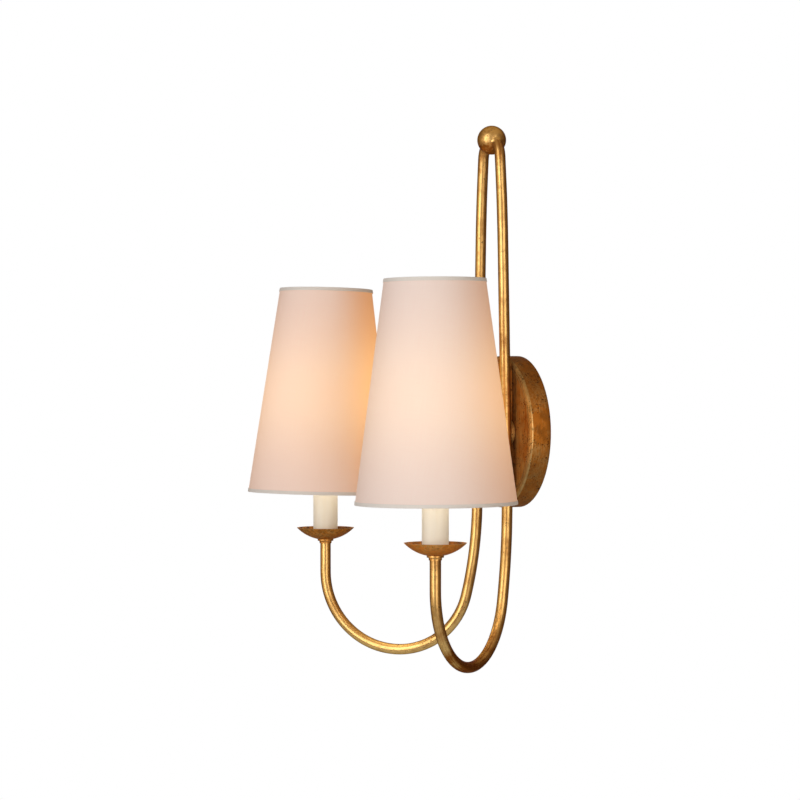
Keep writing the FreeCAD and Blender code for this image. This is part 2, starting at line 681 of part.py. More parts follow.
def socket_body():
    shell_radius = SHELL_BORE / 2 + SHELL_WALL
    outer = SOCKET_DIAMETER / 2
    slot = Part.makeCylinder(shell_radius + FIT, SOCKET_TOP - SOCKET_CAVITY, Z * SOCKET_CAVITY)
    body = Part.makeCylinder(outer, SOCKET_LENGTH, Z * SOCKET_BOTTOM).cut(slot)
    grooves = []
    for drop in SOCKET_GROOVES:
        level = SOCKET_TOP - drop
        grooves.append(tube(2 * (outer + SOCKET_GROOVE_DEPTH), 2 * (outer - SOCKET_GROOVE_DEPTH),
                            level, level + SOCKET_GROOVE_WIDTH))
    return on_candle(body.cut(grooves))


def socket_shell():
    """Brass screw shell with an inward foot that rests on the lampholder's floor."""
    outer = SHELL_BORE + 2 * SHELL_WALL
    wall = tube(outer, SHELL_BORE, SOCKET_CAVITY, SOCKET_TOP - SHELL_WALL)
    foot = tube(outer, CONTACT_DIAMETER + 2 * CONTACT_CLEARANCE, SOCKET_CAVITY, SOCKET_CAVITY + SHELL_WALL)
    return on_candle(wall.fuse(foot).removeSplitter())


def socket_contact():
    """Centre contact: a rivet foot with a raised dome that the bulb's tip meets."""
    top = BULB_CONTACT - SEAT_GAP
    foot = CONTACT_DIAMETER / 2
    rivet = CONTACT_RIVET_DIAMETER / 2
    return on_candle(turned(
        (0, SOCKET_CAVITY),
        [(foot, SOCKET_CAVITY)],
        [(foot, SOCKET_CAVITY + CONTACT_FOOT)],
        [(rivet, SOCKET_CAVITY + CONTACT_FOOT)],
        [(rivet, top - CONTACT_CROWN)],
        dome(rivet, top - CONTACT_CROWN, top),
    ))


def candle_sleeve():
    outer = SLEEVE_DIAMETER / 2
    edge = min(SLEEVE_EDGE_RADIUS, (SLEEVE_DIAMETER - SLEEVE_BORE) / 4)
    edge_centre = (outer - edge, SLEEVE_TOP - edge)
    return on_candle(turned(
        (SLEEVE_BORE / 2, SLEEVE_BOTTOM),
        [(outer, SLEEVE_BOTTOM)],
        [(outer, SLEEVE_TOP - edge)],
        [on_circle(edge_centre, edge, math.pi / 4), (outer - edge, SLEEVE_TOP)],
        [(SLEEVE_BORE / 2, SLEEVE_TOP)],
    ))


# ---------------------------------------------------------------- bulb, right-hand
def glass_shape(inset):
    """Torpedo of three tangent arcs, neck, flank and round tip, moved inwards by the inset."""
    widest = BULB_DIAMETER / 2
    neck = BULB_NECK_DIAMETER / 2
    middle = BULB_SEAT + BULB_WIDEST
    neck_radius = ((widest - neck) ** 2 + BULB_WIDEST ** 2) / (2 * (widest - neck))
    tip_rise = BULB_GLASS_HEIGHT - BULB_WIDEST - BULB_TIP_RADIUS
    flank_radius = (widest ** 2 + tip_rise ** 2 - BULB_TIP_RADIUS ** 2) / (2 * (widest - BULB_TIP_RADIUS))
    neck_centre = (widest - neck_radius, middle)
    flank_centre = (widest - flank_radius, middle)
    tip_centre = (0, middle + tip_rise)
    neck_angle = -math.asin(BULB_WIDEST / (neck_radius - inset))
    tip_angle = math.asin(tip_rise / (flank_radius - BULB_TIP_RADIUS))
    return turned(
        (0, BULB_SEAT),
        [on_circle(neck_centre, neck_radius - inset, neck_angle)],
        [on_circle(neck_centre, neck_radius - inset, neck_angle / 2), (widest - inset, middle)],
        [on_circle(flank_centre, flank_radius - inset, tip_angle / 2),
         on_circle(flank_centre, flank_radius - inset, tip_angle)],
        [on_circle(tip_centre, BULB_TIP_RADIUS - inset, (tip_angle + math.pi / 2) / 2),
         (0, BULB_TOP - inset)],
    )


def bulb_glass():
    return on_candle(as_solid(glass_shape(0).cut(glass_shape(BULB_WALL))))


def bulb_base():
    """Screw base with rolled threads as rounded ridges."""
    crest = BULB_BASE_DIAMETER / 2
    root = crest - BULB_THREAD_DEPTH
    steps = [[(root, BULB_BASE_BOTTOM)]]
    level = BULB_BASE_BOTTOM + BULB_THREAD_LEAD
    for _ in range(BULB_THREADS):
        steps.append([(root, level)])
        steps.append([(crest, level + BULB_THREAD_HEIGHT / 2), (root, level + BULB_THREAD_HEIGHT)])
        level += BULB_THREAD_HEIGHT + BULB_THREAD_LAND
    steps.append([(root, BULB_SEAT)])
    steps.append([(0, BULB_SEAT)])
    return on_candle(turned((0, BULB_BASE_BOTTOM), *steps))


def bulb_insulator():
    root = BULB_BASE_DIAMETER / 2 - BULB_THREAD_DEPTH
    tip = BULB_TIP_DIAMETER / 2
    foot = BULB_BASE_BOTTOM - BULB_INSULATOR_HEIGHT
    return on_candle(turned((0, foot), [(tip, foot)], [(root, BULB_BASE_BOTTOM)], [(0, BULB_BASE_BOTTOM)]))


def bulb_tip():
    tip = BULB_TIP_DIAMETER / 2
    top = BULB_CONTACT + BULB_TIP_HEIGHT
    return on_candle(turned((0, top), [(tip, top)], dome(tip, top, BULB_CONTACT)))


def filament_side(index):
    """Direction in which one filament rod stands from the bulb's axis."""
    angle = math.radians(360 / FILAMENT_COUNT * (index + 0.5))
    return FreeCAD.Vector(math.cos(angle), math.sin(angle), 0)


def filament_ends(index):
    """Foot and head of one filament rod, which leans outwards."""
    foot = BULB_SEAT + BULB_STEM_HEIGHT + FILAMENT_FOOT_RISE
    return (filament_side(index) * FILAMENT_FOOT_RADIUS + Z * foot,
            filament_side(index) * FILAMENT_HEAD_RADIUS + Z * (foot + FILAMENT_LENGTH))


def filament_rods():
    rods = []
    for index in range(FILAMENT_COUNT):
        low, high = filament_ends(index)
        rods.append(Part.makeCylinder(FILAMENT_DIAMETER / 2, high.distanceToPoint(low), low, high - low))
    return rods


def bulb_stem():
    """Glass stem with its mast and bead, and the wires that hold each filament rod at both ends."""
    top = BULB_SEAT + BULB_STEM_HEIGHT
    mast_top = top + FILAMENT_FOOT_RISE + FILAMENT_LENGTH + SUPPORT_WIRE_DROP
    root = top - SUPPORT_WIRE_ROOT
    stem = turned(
        (0, BULB_SEAT),
        [(BULB_STEM_FOOT_DIAMETER / 2, BULB_SEAT)],
        [(BULB_STEM_WAIST_DIAMETER / 2, (BULB_SEAT + top) / 2), (BULB_STEM_TOP_DIAMETER / 2, top)],
        [(0, top)],
    )
    pieces = [Part.makeCylinder(SUPPORT_WIRE_DIAMETER / 2, mast_top - root, Z * root),
              Part.makeSphere(SUPPORT_BEAD_DIAMETER / 2, Z * mast_top)]
    for index in range(FILAMENT_COUNT):
        for held, level in zip(filament_ends(index), (root, mast_top)):
            fixed = filament_side(index) * SUPPORT_WIRE_SPREAD + Z * level
            pieces.append(Part.makeCylinder(SUPPORT_WIRE_DIAMETER / 2, held.distanceToPoint(fixed),
                                            fixed, held - fixed))
    return on_candle(as_solid(stem.fuse(pieces).cut(filament_rods())))


def bulb_filaments():
    return on_candle(Part.makeCompound(filament_rods()))


# ---------------------------------------------------------------- shade, right-hand
def shade_radius(level):
    """Outer radius of the bound shade at a height."""
    return SHADE_BOTTOM_DIAMETER / 2 - SHADE_TAPER * (level - SHADE_BOTTOM_LEVEL)


def cone_band(low, high, outset, thickness):
    """Ring of the shade's cone between two levels, its outside moved out by the outset."""
    return turned(
        (shade_radius(low) + outset, low),
        [(shade_radius(high) + outset, high)],
        [(shade_radius(high) + outset - thickness, high)],
        [(shade_radius(low) + outset - thickness, low)],
    )


def shade_cover():
    low = SHADE_BOTTOM_LEVEL + TRIM_THICKNESS
    high = SHADE_TOP_LEVEL - TRIM_THICKNESS
    return on_candle(cone_band(low, high, -TRIM_THICKNESS, SHADE_THICKNESS))


def ring_radius(level):
    """Radius of a wire ring that lies inside the cover at a level."""
    return shade_radius(level) - TRIM_THICKNESS - SHADE_THICKNESS - RING_WIRE_DIAMETER / 2 - FIT


RING_INSET = TRIM_THICKNESS + RING_WIRE_DIAMETER / 2
BOTTOM_RING_LEVEL = SHADE_BOTTOM_LEVEL + RING_INSET
TOP_RING_LEVEL = SHADE_TOP_LEVEL - RING_INSET


def shade_ring(level):
    return on_candle(Part.makeTorus(ring_radius(level), RING_WIRE_DIAMETER / 2, Z * level))


def shade_trim(bottom):
    """Binding tape: a band outside the cover with a lip over the cover's edge and the ring."""
    lip_depth = TRIM_THICKNESS + SHADE_THICKNESS + RING_WIRE_DIAMETER / 2
    if bottom:
        edge = SHADE_BOTTOM_LEVEL
        band = cone_band(edge, edge + TRIM_HEIGHT, 0, TRIM_THICKNESS)
        lip = cone_band(edge, edge + TRIM_THICKNESS, 0, lip_depth)
    else:
        edge = SHADE_TOP_LEVEL
        band = cone_band(edge - TRIM_HEIGHT, edge, 0, TRIM_THICKNESS)
        lip = cone_band(edge - TRIM_THICKNESS, edge, 0, lip_depth)
    return on_candle(band.fuse(lip).removeSplitter())


def bulb_clip():
    """Two spring-wire loops that grip the bulb at its widest, joined at the hub above the tip."""
    low = BULB_SEAT + BULB_WIDEST - CLIP_REACH_BELOW
    shoulder = BULB_SEAT + BULB_WIDEST + CLIP_SHOULDER_RISE
    hub = HUB_DIAMETER / 2
    loops = []
    for half_turn in (0, 180):
        points = []
        for side in (-1, 1):
            leg = [FreeCAD.Vector(hub, side * CLIP_ROOT_HALF_WIDTH, HUB_LEVEL),
                   FreeCAD.Vector(CLIP_DISTANCE, side * CLIP_HALF_WIDTH, shoulder),
                   FreeCAD.Vector(CLIP_DISTANCE, side * CLIP_HALF_WIDTH, low)]
            points += leg if side < 0 else leg[::-1]
        loop = bar_along(rounded_path(points, CLIP_CORNER_RADIUS), CLIP_WIRE_DIAMETER)
        loops.append(loop.rotated(ORIGIN, Z, half_turn))
    hoop = Part.makeTorus(hub, CLIP_WIRE_DIAMETER / 2, Z * HUB_LEVEL)
    return on_candle(hoop.fuse(loops).removeSplitter())


def shade_spider():
    """Spokes from the top ring down to a hub washer that rests on the clip's hoop."""
    foot = HUB_LEVEL + CLIP_WIRE_DIAMETER / 2
    hub = HUB_DIAMETER / 2
    washer = tube(WASHER_DIAMETER, WASHER_BORE, foot, foot + WASHER_THICKNESS)
    level = foot + SEAT_GAP + SPOKE_WIRE_DIAMETER / 2
    outer = ring_radius(TOP_RING_LEVEL)
    points = [FreeCAD.Vector(hub, 0, level), FreeCAD.Vector(hub + SPOKE_FLAT, 0, level),
              FreeCAD.Vector(outer - SPOKE_HOOK_REACH, 0, TOP_RING_LEVEL - SPOKE_HOOK_RISE),
              FreeCAD.Vector(outer, 0, TOP_RING_LEVEL)]
    spoke = bar_along(rounded_path(points, SPOKE_CORNER_RADIUS), SPOKE_WIRE_DIAMETER)
    spokes = [spoke.rotated(ORIGIN, Z, SPOKE_FIRST_ANGLE + 360 / SPOKE_COUNT * index)
              for index in range(SPOKE_COUNT)]
    ring = Part.makeTorus(outer, RING_WIRE_DIAMETER / 2, Z * TOP_RING_LEVEL)
    return on_candle(as_solid(washer.fuse(spokes).cut(ring).removeSplitter()))


def rocked(shape, lean):
    """A shade piece leant over, turned about the side of the clip's hoop that then carries it."""
    side = math.copysign(HUB_DIAMETER / 2, lean)
    pivot = FreeCAD.Vector(CANDLE_X, -CANDLE_REACH - side, HUB_LEVEL + CLIP_WIRE_DIAMETER / 2)
    return shape.rotated(pivot, X, lean)


# ---------------------------------------------------------------- assembly
CENTRE_PIECES = {
    "backplate": backplate,
    "wall_crossbar": wall_crossbar,
    "earth_screw": earth_screw,
    "centre_nipple": centre_nipple,
    "crossbar_locknut": crossbar_locknut,
    "dome_nut": dome_nut,
    "bridge_bar": bridge_bar,
    "finial_ball": finial_ball,
    "line_conductors": lambda: conductor_pair(1),
    "neutral_conductors": lambda: conductor_pair(-1),
    "wire_nuts": wire_nuts,
    "earth_wire": earth_wire,
}

PAIRED_PIECES = {
    "arm_tube": arm_tube,
    "arm_collar": arm_collar,
    "arm_nipple": arm_nipple,
    "arm_lead": lambda: LEAD,
    "drip_cup": drip_cup,
    "cup_nut": cup_nut,
    "socket_stem": socket_stem,
    "socket_body": socket_body,
    "socket_shell": socket_shell,
    "socket_contact": socket_contact,
    "candle_sleeve": candle_sleeve,
    "bulb_glass": bulb_glass,
    "bulb_base": bulb_base,
    "bulb_insulator": bulb_insulator,
    "bulb_tip": bulb_tip,
    "bulb_stem": bulb_stem,
    "bulb_filaments": bulb_filaments,
    "bulb_clip": bulb_clip,
}

SHADE_PIECES = {
    "shade_cover": shade_cover,
    "shade_bottom_ring": lambda: shade_ring(BOTTOM_RING_LEVEL),
    "shade_top_ring": lambda: shade_ring(TOP_RING_LEVEL),
    "shade_bottom_trim": lambda: shade_trim(True),
    "shade_top_trim": lambda: shade_trim(False),
    "shade_spider": shade_spider,
}


def assemble():
    """Every node's shape by its name: the centre pieces, then right and left of each pair."""
    nodes = {name: make() for name, make in CENTRE_PIECES.items()}
    for name, make in PAIRED_PIECES.items():
        right = make()
        nodes["right_" + name] = right
        nodes["left_" + name] = mirrored(right)
    for name, make in SHADE_PIECES.items():
        upright = make()
        nodes["right_" + name] = rocked(upright, RIGHT_SHADE_LEAN)
        nodes["left_" + name] = mirrored(rocked(upright, LEFT_SHADE_LEAN))
    return nodes


os.makedirs("parts", exist_ok=True)
for node_name, node_shape in assemble().items():
    print(node_name, "solids", len(node_shape.Solids), "valid", node_shape.isValid(),
          "volume", round(node_shape.Volume, 1))
    node_shape.exportStep("parts/" + node_name + ".step")
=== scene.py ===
"""Double arm wall sconce: gilt iron arms, ivory candles, lit linen shades and the studio round them.

Everything is in metres in the frame's axes: the wall is y = 0, the room is at -Y and +Z is up.
The arm is worked out for the right-hand side, at +X, and mirrored for the left-hand one. Each shade
and each bulb stands where the frame has it.
"""
import math
from functools import partialmethod

import bpy
import numpy as np
from mathutils import Matrix, Vector


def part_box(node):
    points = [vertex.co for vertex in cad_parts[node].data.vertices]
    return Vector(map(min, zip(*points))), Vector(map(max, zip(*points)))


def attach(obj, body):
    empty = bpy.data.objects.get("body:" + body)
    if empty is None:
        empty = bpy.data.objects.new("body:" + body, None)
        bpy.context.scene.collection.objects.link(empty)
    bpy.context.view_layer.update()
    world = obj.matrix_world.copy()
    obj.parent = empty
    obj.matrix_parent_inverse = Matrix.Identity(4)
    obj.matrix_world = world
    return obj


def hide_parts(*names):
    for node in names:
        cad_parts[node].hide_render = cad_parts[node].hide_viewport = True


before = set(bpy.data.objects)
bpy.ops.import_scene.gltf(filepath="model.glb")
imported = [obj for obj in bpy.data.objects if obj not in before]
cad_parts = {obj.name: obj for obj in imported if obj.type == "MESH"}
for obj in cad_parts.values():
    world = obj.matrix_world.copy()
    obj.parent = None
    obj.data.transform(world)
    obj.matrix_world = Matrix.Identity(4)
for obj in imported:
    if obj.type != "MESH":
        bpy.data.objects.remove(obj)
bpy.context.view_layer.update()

bl_info = {
    "name": "Double arm wall sconce",
    "version": (1, 0, 0),
    "blender": (4, 5, 0),
    "location": "3D View > Sidebar > Sconce",
    "description": "Dresses a gilt double arm wall sconce with candles and lit linen shades",
    "category": "Object",
}

MM = 0.001
WHITE = (1.0, 1.0, 1.0, 1.0)
SIDES = {"right": 1, "left": -1}


# ---------------------------------------------------------------- places read from the frame
def box_centre(node):
    """Middle of a node's box."""
    low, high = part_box(node)
    return (low + high) / 2


def half_width(node):
    """Half of a node's width along X, which is the radius of a ball or ring."""
    low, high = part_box(node)
    return (high.x - low.x) / 2


CANDLE = box_centre("right_candle_sleeve")
BALL = box_centre("finial_ball")
BALL_RADIUS = half_width("finial_ball")
CUP_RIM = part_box("right_drip_cup")[1].z

# The tube is 3/8 inch thick and ends inside the collar under the cup.
TUBE_RADIUS = 9.525 * MM / 2
TUBE_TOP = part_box("right_arm_collar")[0].z + 2.4 * MM

# The plate's bead, inwards from its edge: a rounded corner, the groove, an inner ridge and its foot.
PLATE_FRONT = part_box("backplate")[0].y
PLATE_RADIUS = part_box("backplate")[1].x
PLATE_WALL = 1.2 * MM
OUTER_RIDGE = 3.4 * MM
BEAD_GROOVE = 4.1 * MM
INNER_RIDGE = 5.0 * MM
BEAD_WIDTH = 6.4 * MM
BEAD_HEIGHT = 0.6 * MM
NIPPLE_HOLE = 5.2 * MM

# Both arms' legs pass in front of the plate, just inside the ends of the bridge bar.
LEG_REACH = half_width("bridge_bar") - 1.5 * MM

# The cloth lies just outside the wire rings and runs a little past them, and the binding further.
RING_TO_CLOTH = 0.95 * MM
CLOTH_PAST_RING = 1.2 * MM
BINDING_PAST_RING = 1.7 * MM
BINDING_HEIGHT = 3.2 * MM
BINDING_PROUD = 0.5 * MM
BINDING_TUCK = 2.2 * MM
TAPE_THICKNESS = 0.42 * MM
CLOTH_BOTTOM = half_width("right_shade_bottom_ring") + RING_TO_CLOTH
CLOTH_TOP = half_width("right_shade_top_ring") + RING_TO_CLOTH
RING_SPAN = (box_centre("right_shade_top_ring") - box_centre("right_shade_bottom_ring")).length


# ---------------------------------------------------------------- settings
# The next four make one property each, from its name, description and default.
def a_colour(name, description, default, most=1):
    return bpy.props.FloatVectorProperty(
        name=name, description=description, subtype="COLOR", size=3, min=0, max=most, default=default)


def a_length(name, description, default):
    return bpy.props.FloatProperty(name=name, description=description, subtype="DISTANCE", default=default)


def an_angle(name, description, degrees):
    return bpy.props.FloatProperty(
        name=name, description=description, subtype="ANGLE", default=math.radians(degrees))


def a_number(name, description, default, **limits):
    return bpy.props.FloatProperty(name=name, description=description, min=0, default=default, **limits)


class GiltSettings(bpy.types.PropertyGroup):
    """Colours of the gilding, of the glazes over it, of its grime, and of its painted highlights and shade
    """
    gold: a_colour("Gold", "Rubbed gilding on the open surfaces", (0.91, 0.59, 0.21))
    brown: a_colour("Brown", "Glaze over the gilding of the arms and the ball", (0.36, 0.125, 0.018))
    umber: a_colour("Umber", "Redder glaze of the plate, the collars and the left-hand cup",
                    (0.68, 0.25, 0.034))
    # Painted light: a paler, redder copy of the umber for the right-hand cup, the one in the light.
    lit_russet: a_colour("Russet", "Paler and redder glaze of the right-hand cup", (0.94, 0.335, 0.055))
    # Painted highlight as well as wear: also the lit rims of the cups and the bead of the plate.
    bright: a_colour("Bright", "Metal that shows where edges are rubbed", (0.93, 0.61, 0.24))
    # Also the colour of painted shade on the ball, the plate and the cups.
    soot: a_colour("Soot", "Pits and corners that no cloth has reached", (0.055, 0.020, 0.007))
    edge: a_colour("Grazing colour", "Colour of the metal where it is seen edge on", (0.12, 0.055, 0.025))


class ArmSettings(bpy.types.PropertyGroup):
    """Bends and angles of an arm's centreline, from the ball to the cup, and its hand-made skin"""
    arch_radius: a_length("Arch radius", "Bend of the tube beside the ball", 17.4 * MM)
    socket_turn: an_angle("Turn in the ball", "Part of the arch that the ball hides", 12.0)
    arch_tilt: an_angle("Tilt under the arch", "Lean of the tube where the arch ends", 6.5)
    bow_radius: a_length("Bow radius", "Long bow between the arch and the straight leg", 1.0)
    leg_tilt: an_angle("Tilt of the leg", "Lean of the straight leg", 2.1)
    blend_radius: a_length("Blend radius", "Bend that brings the leg upright above the loop", 0.2)
    loop_level: a_length("Loop start", "Height at which the loop starts", -60.2 * MM)
    fall_radius: a_length("Fall radius", "First, long bend of the loop", 365.5 * MM)
    fall_turn: an_angle("Fall turn", "Angle of the loop's first bend", 13.6)
    belly_radius: a_length("Belly radius", "Bend down to the loop's lowest point", 66.05 * MM)
    fillet: a_length("Fillet", "Size of the braze fillet between tube and ball", 2.2 * MM)
    step: a_length("Step", "Distance between two rings of the tube's surface", 1.5 * MM)
    unevenness: a_length("Unevenness", "Depth of the hand-rubbed hollows in the tube", 0.07 * MM)


class ShadeSettings(bpy.types.PropertyGroup):
    """Cloth, binding and glow of the shades"""
    linen: a_colour("Linen", "Colour of the cloth", (0.81, 0.80, 0.80))
    tape: a_colour("Binding", "Colour of the binding tape", (0.835, 0.83, 0.80))
    tape_glow: a_colour("Glow of the binding", "Light that comes through cloth and tape together",
                        (0.10, 0.05, 0.018))
    glow_far: a_colour("Glow colour at the ends", "Light through the cloth far from the bulb",
                       (1.0, 0.40, 0.11))
    glow_near: a_colour("Glow colour by the bulb", "Light through the cloth beside the bulb",
                        (1.0, 0.48, 0.15))
    glow_reach: a_length("Glow reach", "Distance from the bulb where the glow has its full strength",
                         57 * MM)
    glow_drop: a_length("Glow drop", "Middle of the glow below the middle of the rods", 11 * MM)
    right_glow: a_number("Right glow", "Strength of the right-hand shade's glow", 0.46)
    left_glow: a_number("Left glow", "Strength of the left-hand shade's glow", 0.59)
    right_return: a_number("Right return", "Warm light gained by the right-hand shade's wall side", 0.5)
    left_return: a_number("Left return", "Warm light gained by the left-hand shade's wall side", 0.75)
    # Painted shade: the cloth turns towards this colour on a shade's wall side, where less light falls.
    wall_shade: a_colour("Smoke", "Cloth darkened by warm air, on the wall side of a shade",
                    (0.34, 0.25, 0.20))
    right_smoke: a_number("Right smoke", "Share of the smoke on the right-hand shade", 0.17, max=1)
    # On the left-hand shade this painted shade stands for the right-hand shade's shadow.
    left_smoke: a_number("Left smoke", "Share of the smoke on the left-hand shade", 0.75, max=1)
    backing: a_colour("Backing", "Smooth white backing inside the shade", (0.86, 0.85, 0.82))
    backing_glow: a_colour("Light inside", "Colour of the lit backing beside the bulb",
                           (1.10, 0.88, 0.64), most=2)
    ply: a_length("Ply", "Thickness of the laminated linen", 0.45 * MM)
    lap: a_length("Lap", "Width of the glued lap at the back of the shade", 9 * MM)
    thread: a_length("Thread", "Distance between two threads of the weave", 0.42 * MM)


class CandleSettings(bpy.types.PropertyGroup):
    """Colour of the candle sleeves"""
    ivory: a_colour("Ivory", "Colour of the candle sleeves", (0.87, 0.862, 0.80))


class BulbSettings(bpy.types.PropertyGroup):
    """Lit rods and screw base of the bulbs"""
    rod_glow: a_colour("Rod glow", "Colour of the lit rods", (1.0, 0.72, 0.38))
    rod_power: a_number("Rod power", "Strength of the lit rods", 6.0)
    thread_pitch: a_length("Thread pitch", "Rise of the base's thread in one turn", 2.4 * MM)
    thread_depth: a_length("Thread depth", "Depth of the base's rolled thread", 0.45 * MM)


class StageSettings(bpy.types.PropertyGroup):
    """Camera, lamps, floor and studio"""
    azimuth: an_angle("Azimuth", "Direction of the camera round the sconce", 67.101)
    pitch: an_angle("Pitch", "How far the camera looks down", 0.317)
    roll: an_angle("Roll", "Turn of the camera about its own axis", -0.056)
    distance: a_length("Distance", "Camera to the sconce", 2.24328)
    aim_across: a_length("Aim across", "Sideways place of the point that the camera looks at",
                         -103.877 * MM)
    aim_height: a_length("Aim height", "Height of the point that the camera looks at", 27.945 * MM)
    lens: a_number("Lens", "Focal length in millimetres on a 36 mm sensor", 114.24)
    lamp_distance: a_length("Lamp distance", "Lamps to the sconce", 2.6)
    floor_drop: a_length("Floor drop", "Floor below the backplate's centre", 1.25)
    floor_radius: a_length("Floor radius", "Radius of the floor", 2.0)
    floor_colour: a_colour("Floor", "Colour of the floor", (0.85, 0.85, 0.85))
    ambient: a_number("Ambient", "Light that comes from all round", 0.088)
    studio_dark: a_colour("Dark side", "Dark side of the studio, as the metal reflects it",
                          (0.12, 0.068, 0.032))
    studio_left: a_colour("Warm side", "Warm side of the studio, to the camera's left",
                          (0.60, 0.45, 0.28))
    studio_ceiling: a_colour("Ceiling", "Ceiling of the studio, as the metal reflects it",
                             (0.45, 0.33, 0.20))
    studio_turn: an_angle("Warm side turn", "Middle of the warm side, from the camera to the right", -80.0)
    key_turn: an_angle("Key turn", "Direction of the key light, from the camera to the right", -42.0)
    fill_turn: an_angle("Fill turn", "Direction of the fill light, from the camera to the right", 24.0)
    fill_colour: a_colour("Fill colour", "Colour of the second light", (1.0, 0.925, 0.85))
    key_power: a_number("Key light", "Power of the large soft light in watts", 35.0)
    fill_power: a_number("Fill light", "Power of the second light in watts", 21.5)


SETTINGS = {
    "sconce_gilt": GiltSettings,
    "sconce_arm": ArmSettings,
    "sconce_shade": ShadeSettings,
    "sconce_candle": CandleSettings,
    "sconce_bulb": BulbSettings,
    "sconce_stage": StageSettings,
}


# ---------------------------------------------------------------- surfaces
def lay_grid(name, points, across, closed=False, sharp=math.radians(35), slots=None, **attributes):
    """Mesh object on a grid of points, (rows, columns, 3), joined by four-sided faces.

    The columns close on themselves, and so do the rows where closed is true. Points that coincide
    become one vertex, so a row of equal points is a pole. across is a (rows, columns, 2) grid of UVs,
    for the corners of each face, so it has one column more than the points. slots gives the material
    slot of each column of faces. An attribute is a (rows, columns, 3) grid of vectors. The faces are
    turned outwards by the sign of the volume.
    """
    rows, columns, _ = points.shape
    index = np.arange(rows * columns).reshape(rows, columns)
    ahead = np.roll(index, -1, axis=1)
    last = rows if closed else rows - 1
    up = np.roll(index, -1, axis=0)[:last]
    up_ahead = np.roll(ahead, -1, axis=0)[:last]
    corners = np.stack([index[:last], ahead[:last], up_ahead, up], axis=-1).reshape(-1, 4)
    uv_up = np.roll(across, -1, axis=0)[:last]
    uvs = np.stack([across[:last, :-1], across[:last, 1:], uv_up[:, 1:], uv_up[:, :-1]], axis=2)
    uvs = uvs.reshape(-1, 4, 2)

    flat = points.reshape(-1, 3)
    _, first, merged = np.unique(np.round(flat / 1e-8).astype(np.int64), axis=0,
                                 return_index=True, return_inverse=True)
    corners = merged.reshape(-1)[corners]
    vertices = flat[first]
    a, b, c, d = (vertices[corners[:, side]] for side in range(4))
    volume = (np.cross(a, b) * c + np.cross(a, c) * d).sum()
    if volume < 0:
        corners = corners[:, ::-1]
        uvs = uvs[:, ::-1]
    keep = corners != np.roll(corners, 1, axis=1)
    whole = keep.all(axis=1)
    pointed = keep.sum(axis=1) == 3
    faces = corners[whole].tolist() + corners[pointed][keep[pointed]].reshape(-1, 3).tolist()
    loops = np.concatenate([uvs[whole].reshape(-1, 2), uvs[pointed][keep[pointed]].reshape(-1, 2)])

    mesh = bpy.data.meshes.new(name)
    mesh.from_pydata(vertices.tolist(), [], faces)
    mesh.uv_layers.new(name="UVMap").data.foreach_set("uv", loops.ravel())
    if slots is not None:
        slot = np.broadcast_to(slots, (last, columns)).reshape(-1)
        mesh.polygons.foreach_set("material_index", np.concatenate([slot[whole], slot[pointed]]))
    for label, values in attributes.items():
        layer = mesh.attributes.new(label, "FLOAT_VECTOR", "POINT")
        layer.data.foreach_set("vector", values.reshape(-1, 3)[first].ravel())
    mesh.update()
    mesh.shade_smooth()
    mesh.set_sharp_from_angle(angle=sharp)
    return new_object(name, mesh)


def new_object(name, data):
    """Object for a mesh, lamp or camera, in the scene."""
    thing = bpy.data.objects.new(name, data)
    bpy.context.scene.collection.objects.link(thing)
    return thing


def turn_angles(steps):
    """Even angles of one whole turn, without the last, which is the first again."""
    return np.linspace(0, 2 * math.pi, steps, endpoint=False)


def round_axis(radius, angle, height):
    """Points (r cos(a), r sin(a), h) for radii, angles and heights that broadcast together."""
    flat = radius * np.cos(angle), radius * np.sin(angle)
    return np.stack(np.broadcast_arrays(*flat, height), axis=-1)


def capped(foot, grid, head):
    """A grid with one more row at each end, where all points are the foot or the head."""
    row = grid[:1].shape
    return np.concatenate([np.broadcast_to(foot, row), grid, np.broadcast_to(head, row)])


def even_uv(lengths, radius, columns):
    """UV grid in metres: even steps round a piece of that radius, and the given lengths along it."""
    u = np.linspace(0, 2 * math.pi * radius, columns + 1)
    return np.stack(np.broadcast_arrays(u[None, :], lengths[:, None]), axis=-1)


def rounded(*corners, steps=6):
    """Closed (radius, height) outline through (radius, height, rounding) corners.

    A corner P with neighbours A and B and rounding c becomes the parabola that starts c before P,
    ends c after P and touches both edges: (1 - t)^2 S + 2 t (1 - t) P + t^2 E.
    """
    table = np.array(corners, float)
    here, cut = table[:, :2], table[:, 2:]
    back = np.roll(here, 1, axis=0) - here
    ahead = np.roll(here, -1, axis=0) - here
    start = here + back / np.linalg.norm(back, axis=1, keepdims=True) * cut
    end = here + ahead / np.linalg.norm(ahead, axis=1, keepdims=True) * cut
    t = np.linspace(0, 1, steps)[None, :, None]
    curve = (1 - t) ** 2 * start[:, None] + 2 * t * (1 - t) * here[:, None] + t ** 2 * end[:, None]
    outline = curve.reshape(-1, 2)
    fresh = np.linalg.norm(outline - np.roll(outline, 1, axis=0), axis=1) > 1e-7
    return outline[fresh]


def lathe(name, outline, origin, axes, steps):
    """Closed surface of revolution: origin + r cos(a) X + r sin(a) Y + h Z for every (r, h)."""
    radius, height = outline[:, :1], outline[:, 1:]
    points = origin + round_axis(radius, turn_angles(steps), height) @ axes
    run = np.linalg.norm(np.diff(outline, axis=0, prepend=outline[:1]), axis=1).cumsum()
    return lay_grid(name, points, even_uv(run, radius.max(), steps), closed=True)


def put(piece, body, slot, material, *nodes):
    """Hand a finished piece to its body and material, in place of the named nodes. The slot is not used.
    """
    piece.data.materials.append(material)
    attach(piece, body)
    if nodes:
        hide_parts(*nodes)


def coat(material, *nodes):
    """Give carried-over nodes a material."""
    for node in nodes:
        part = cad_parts[node]
        part.data.materials.clear()
        part.data.materials.append(material)


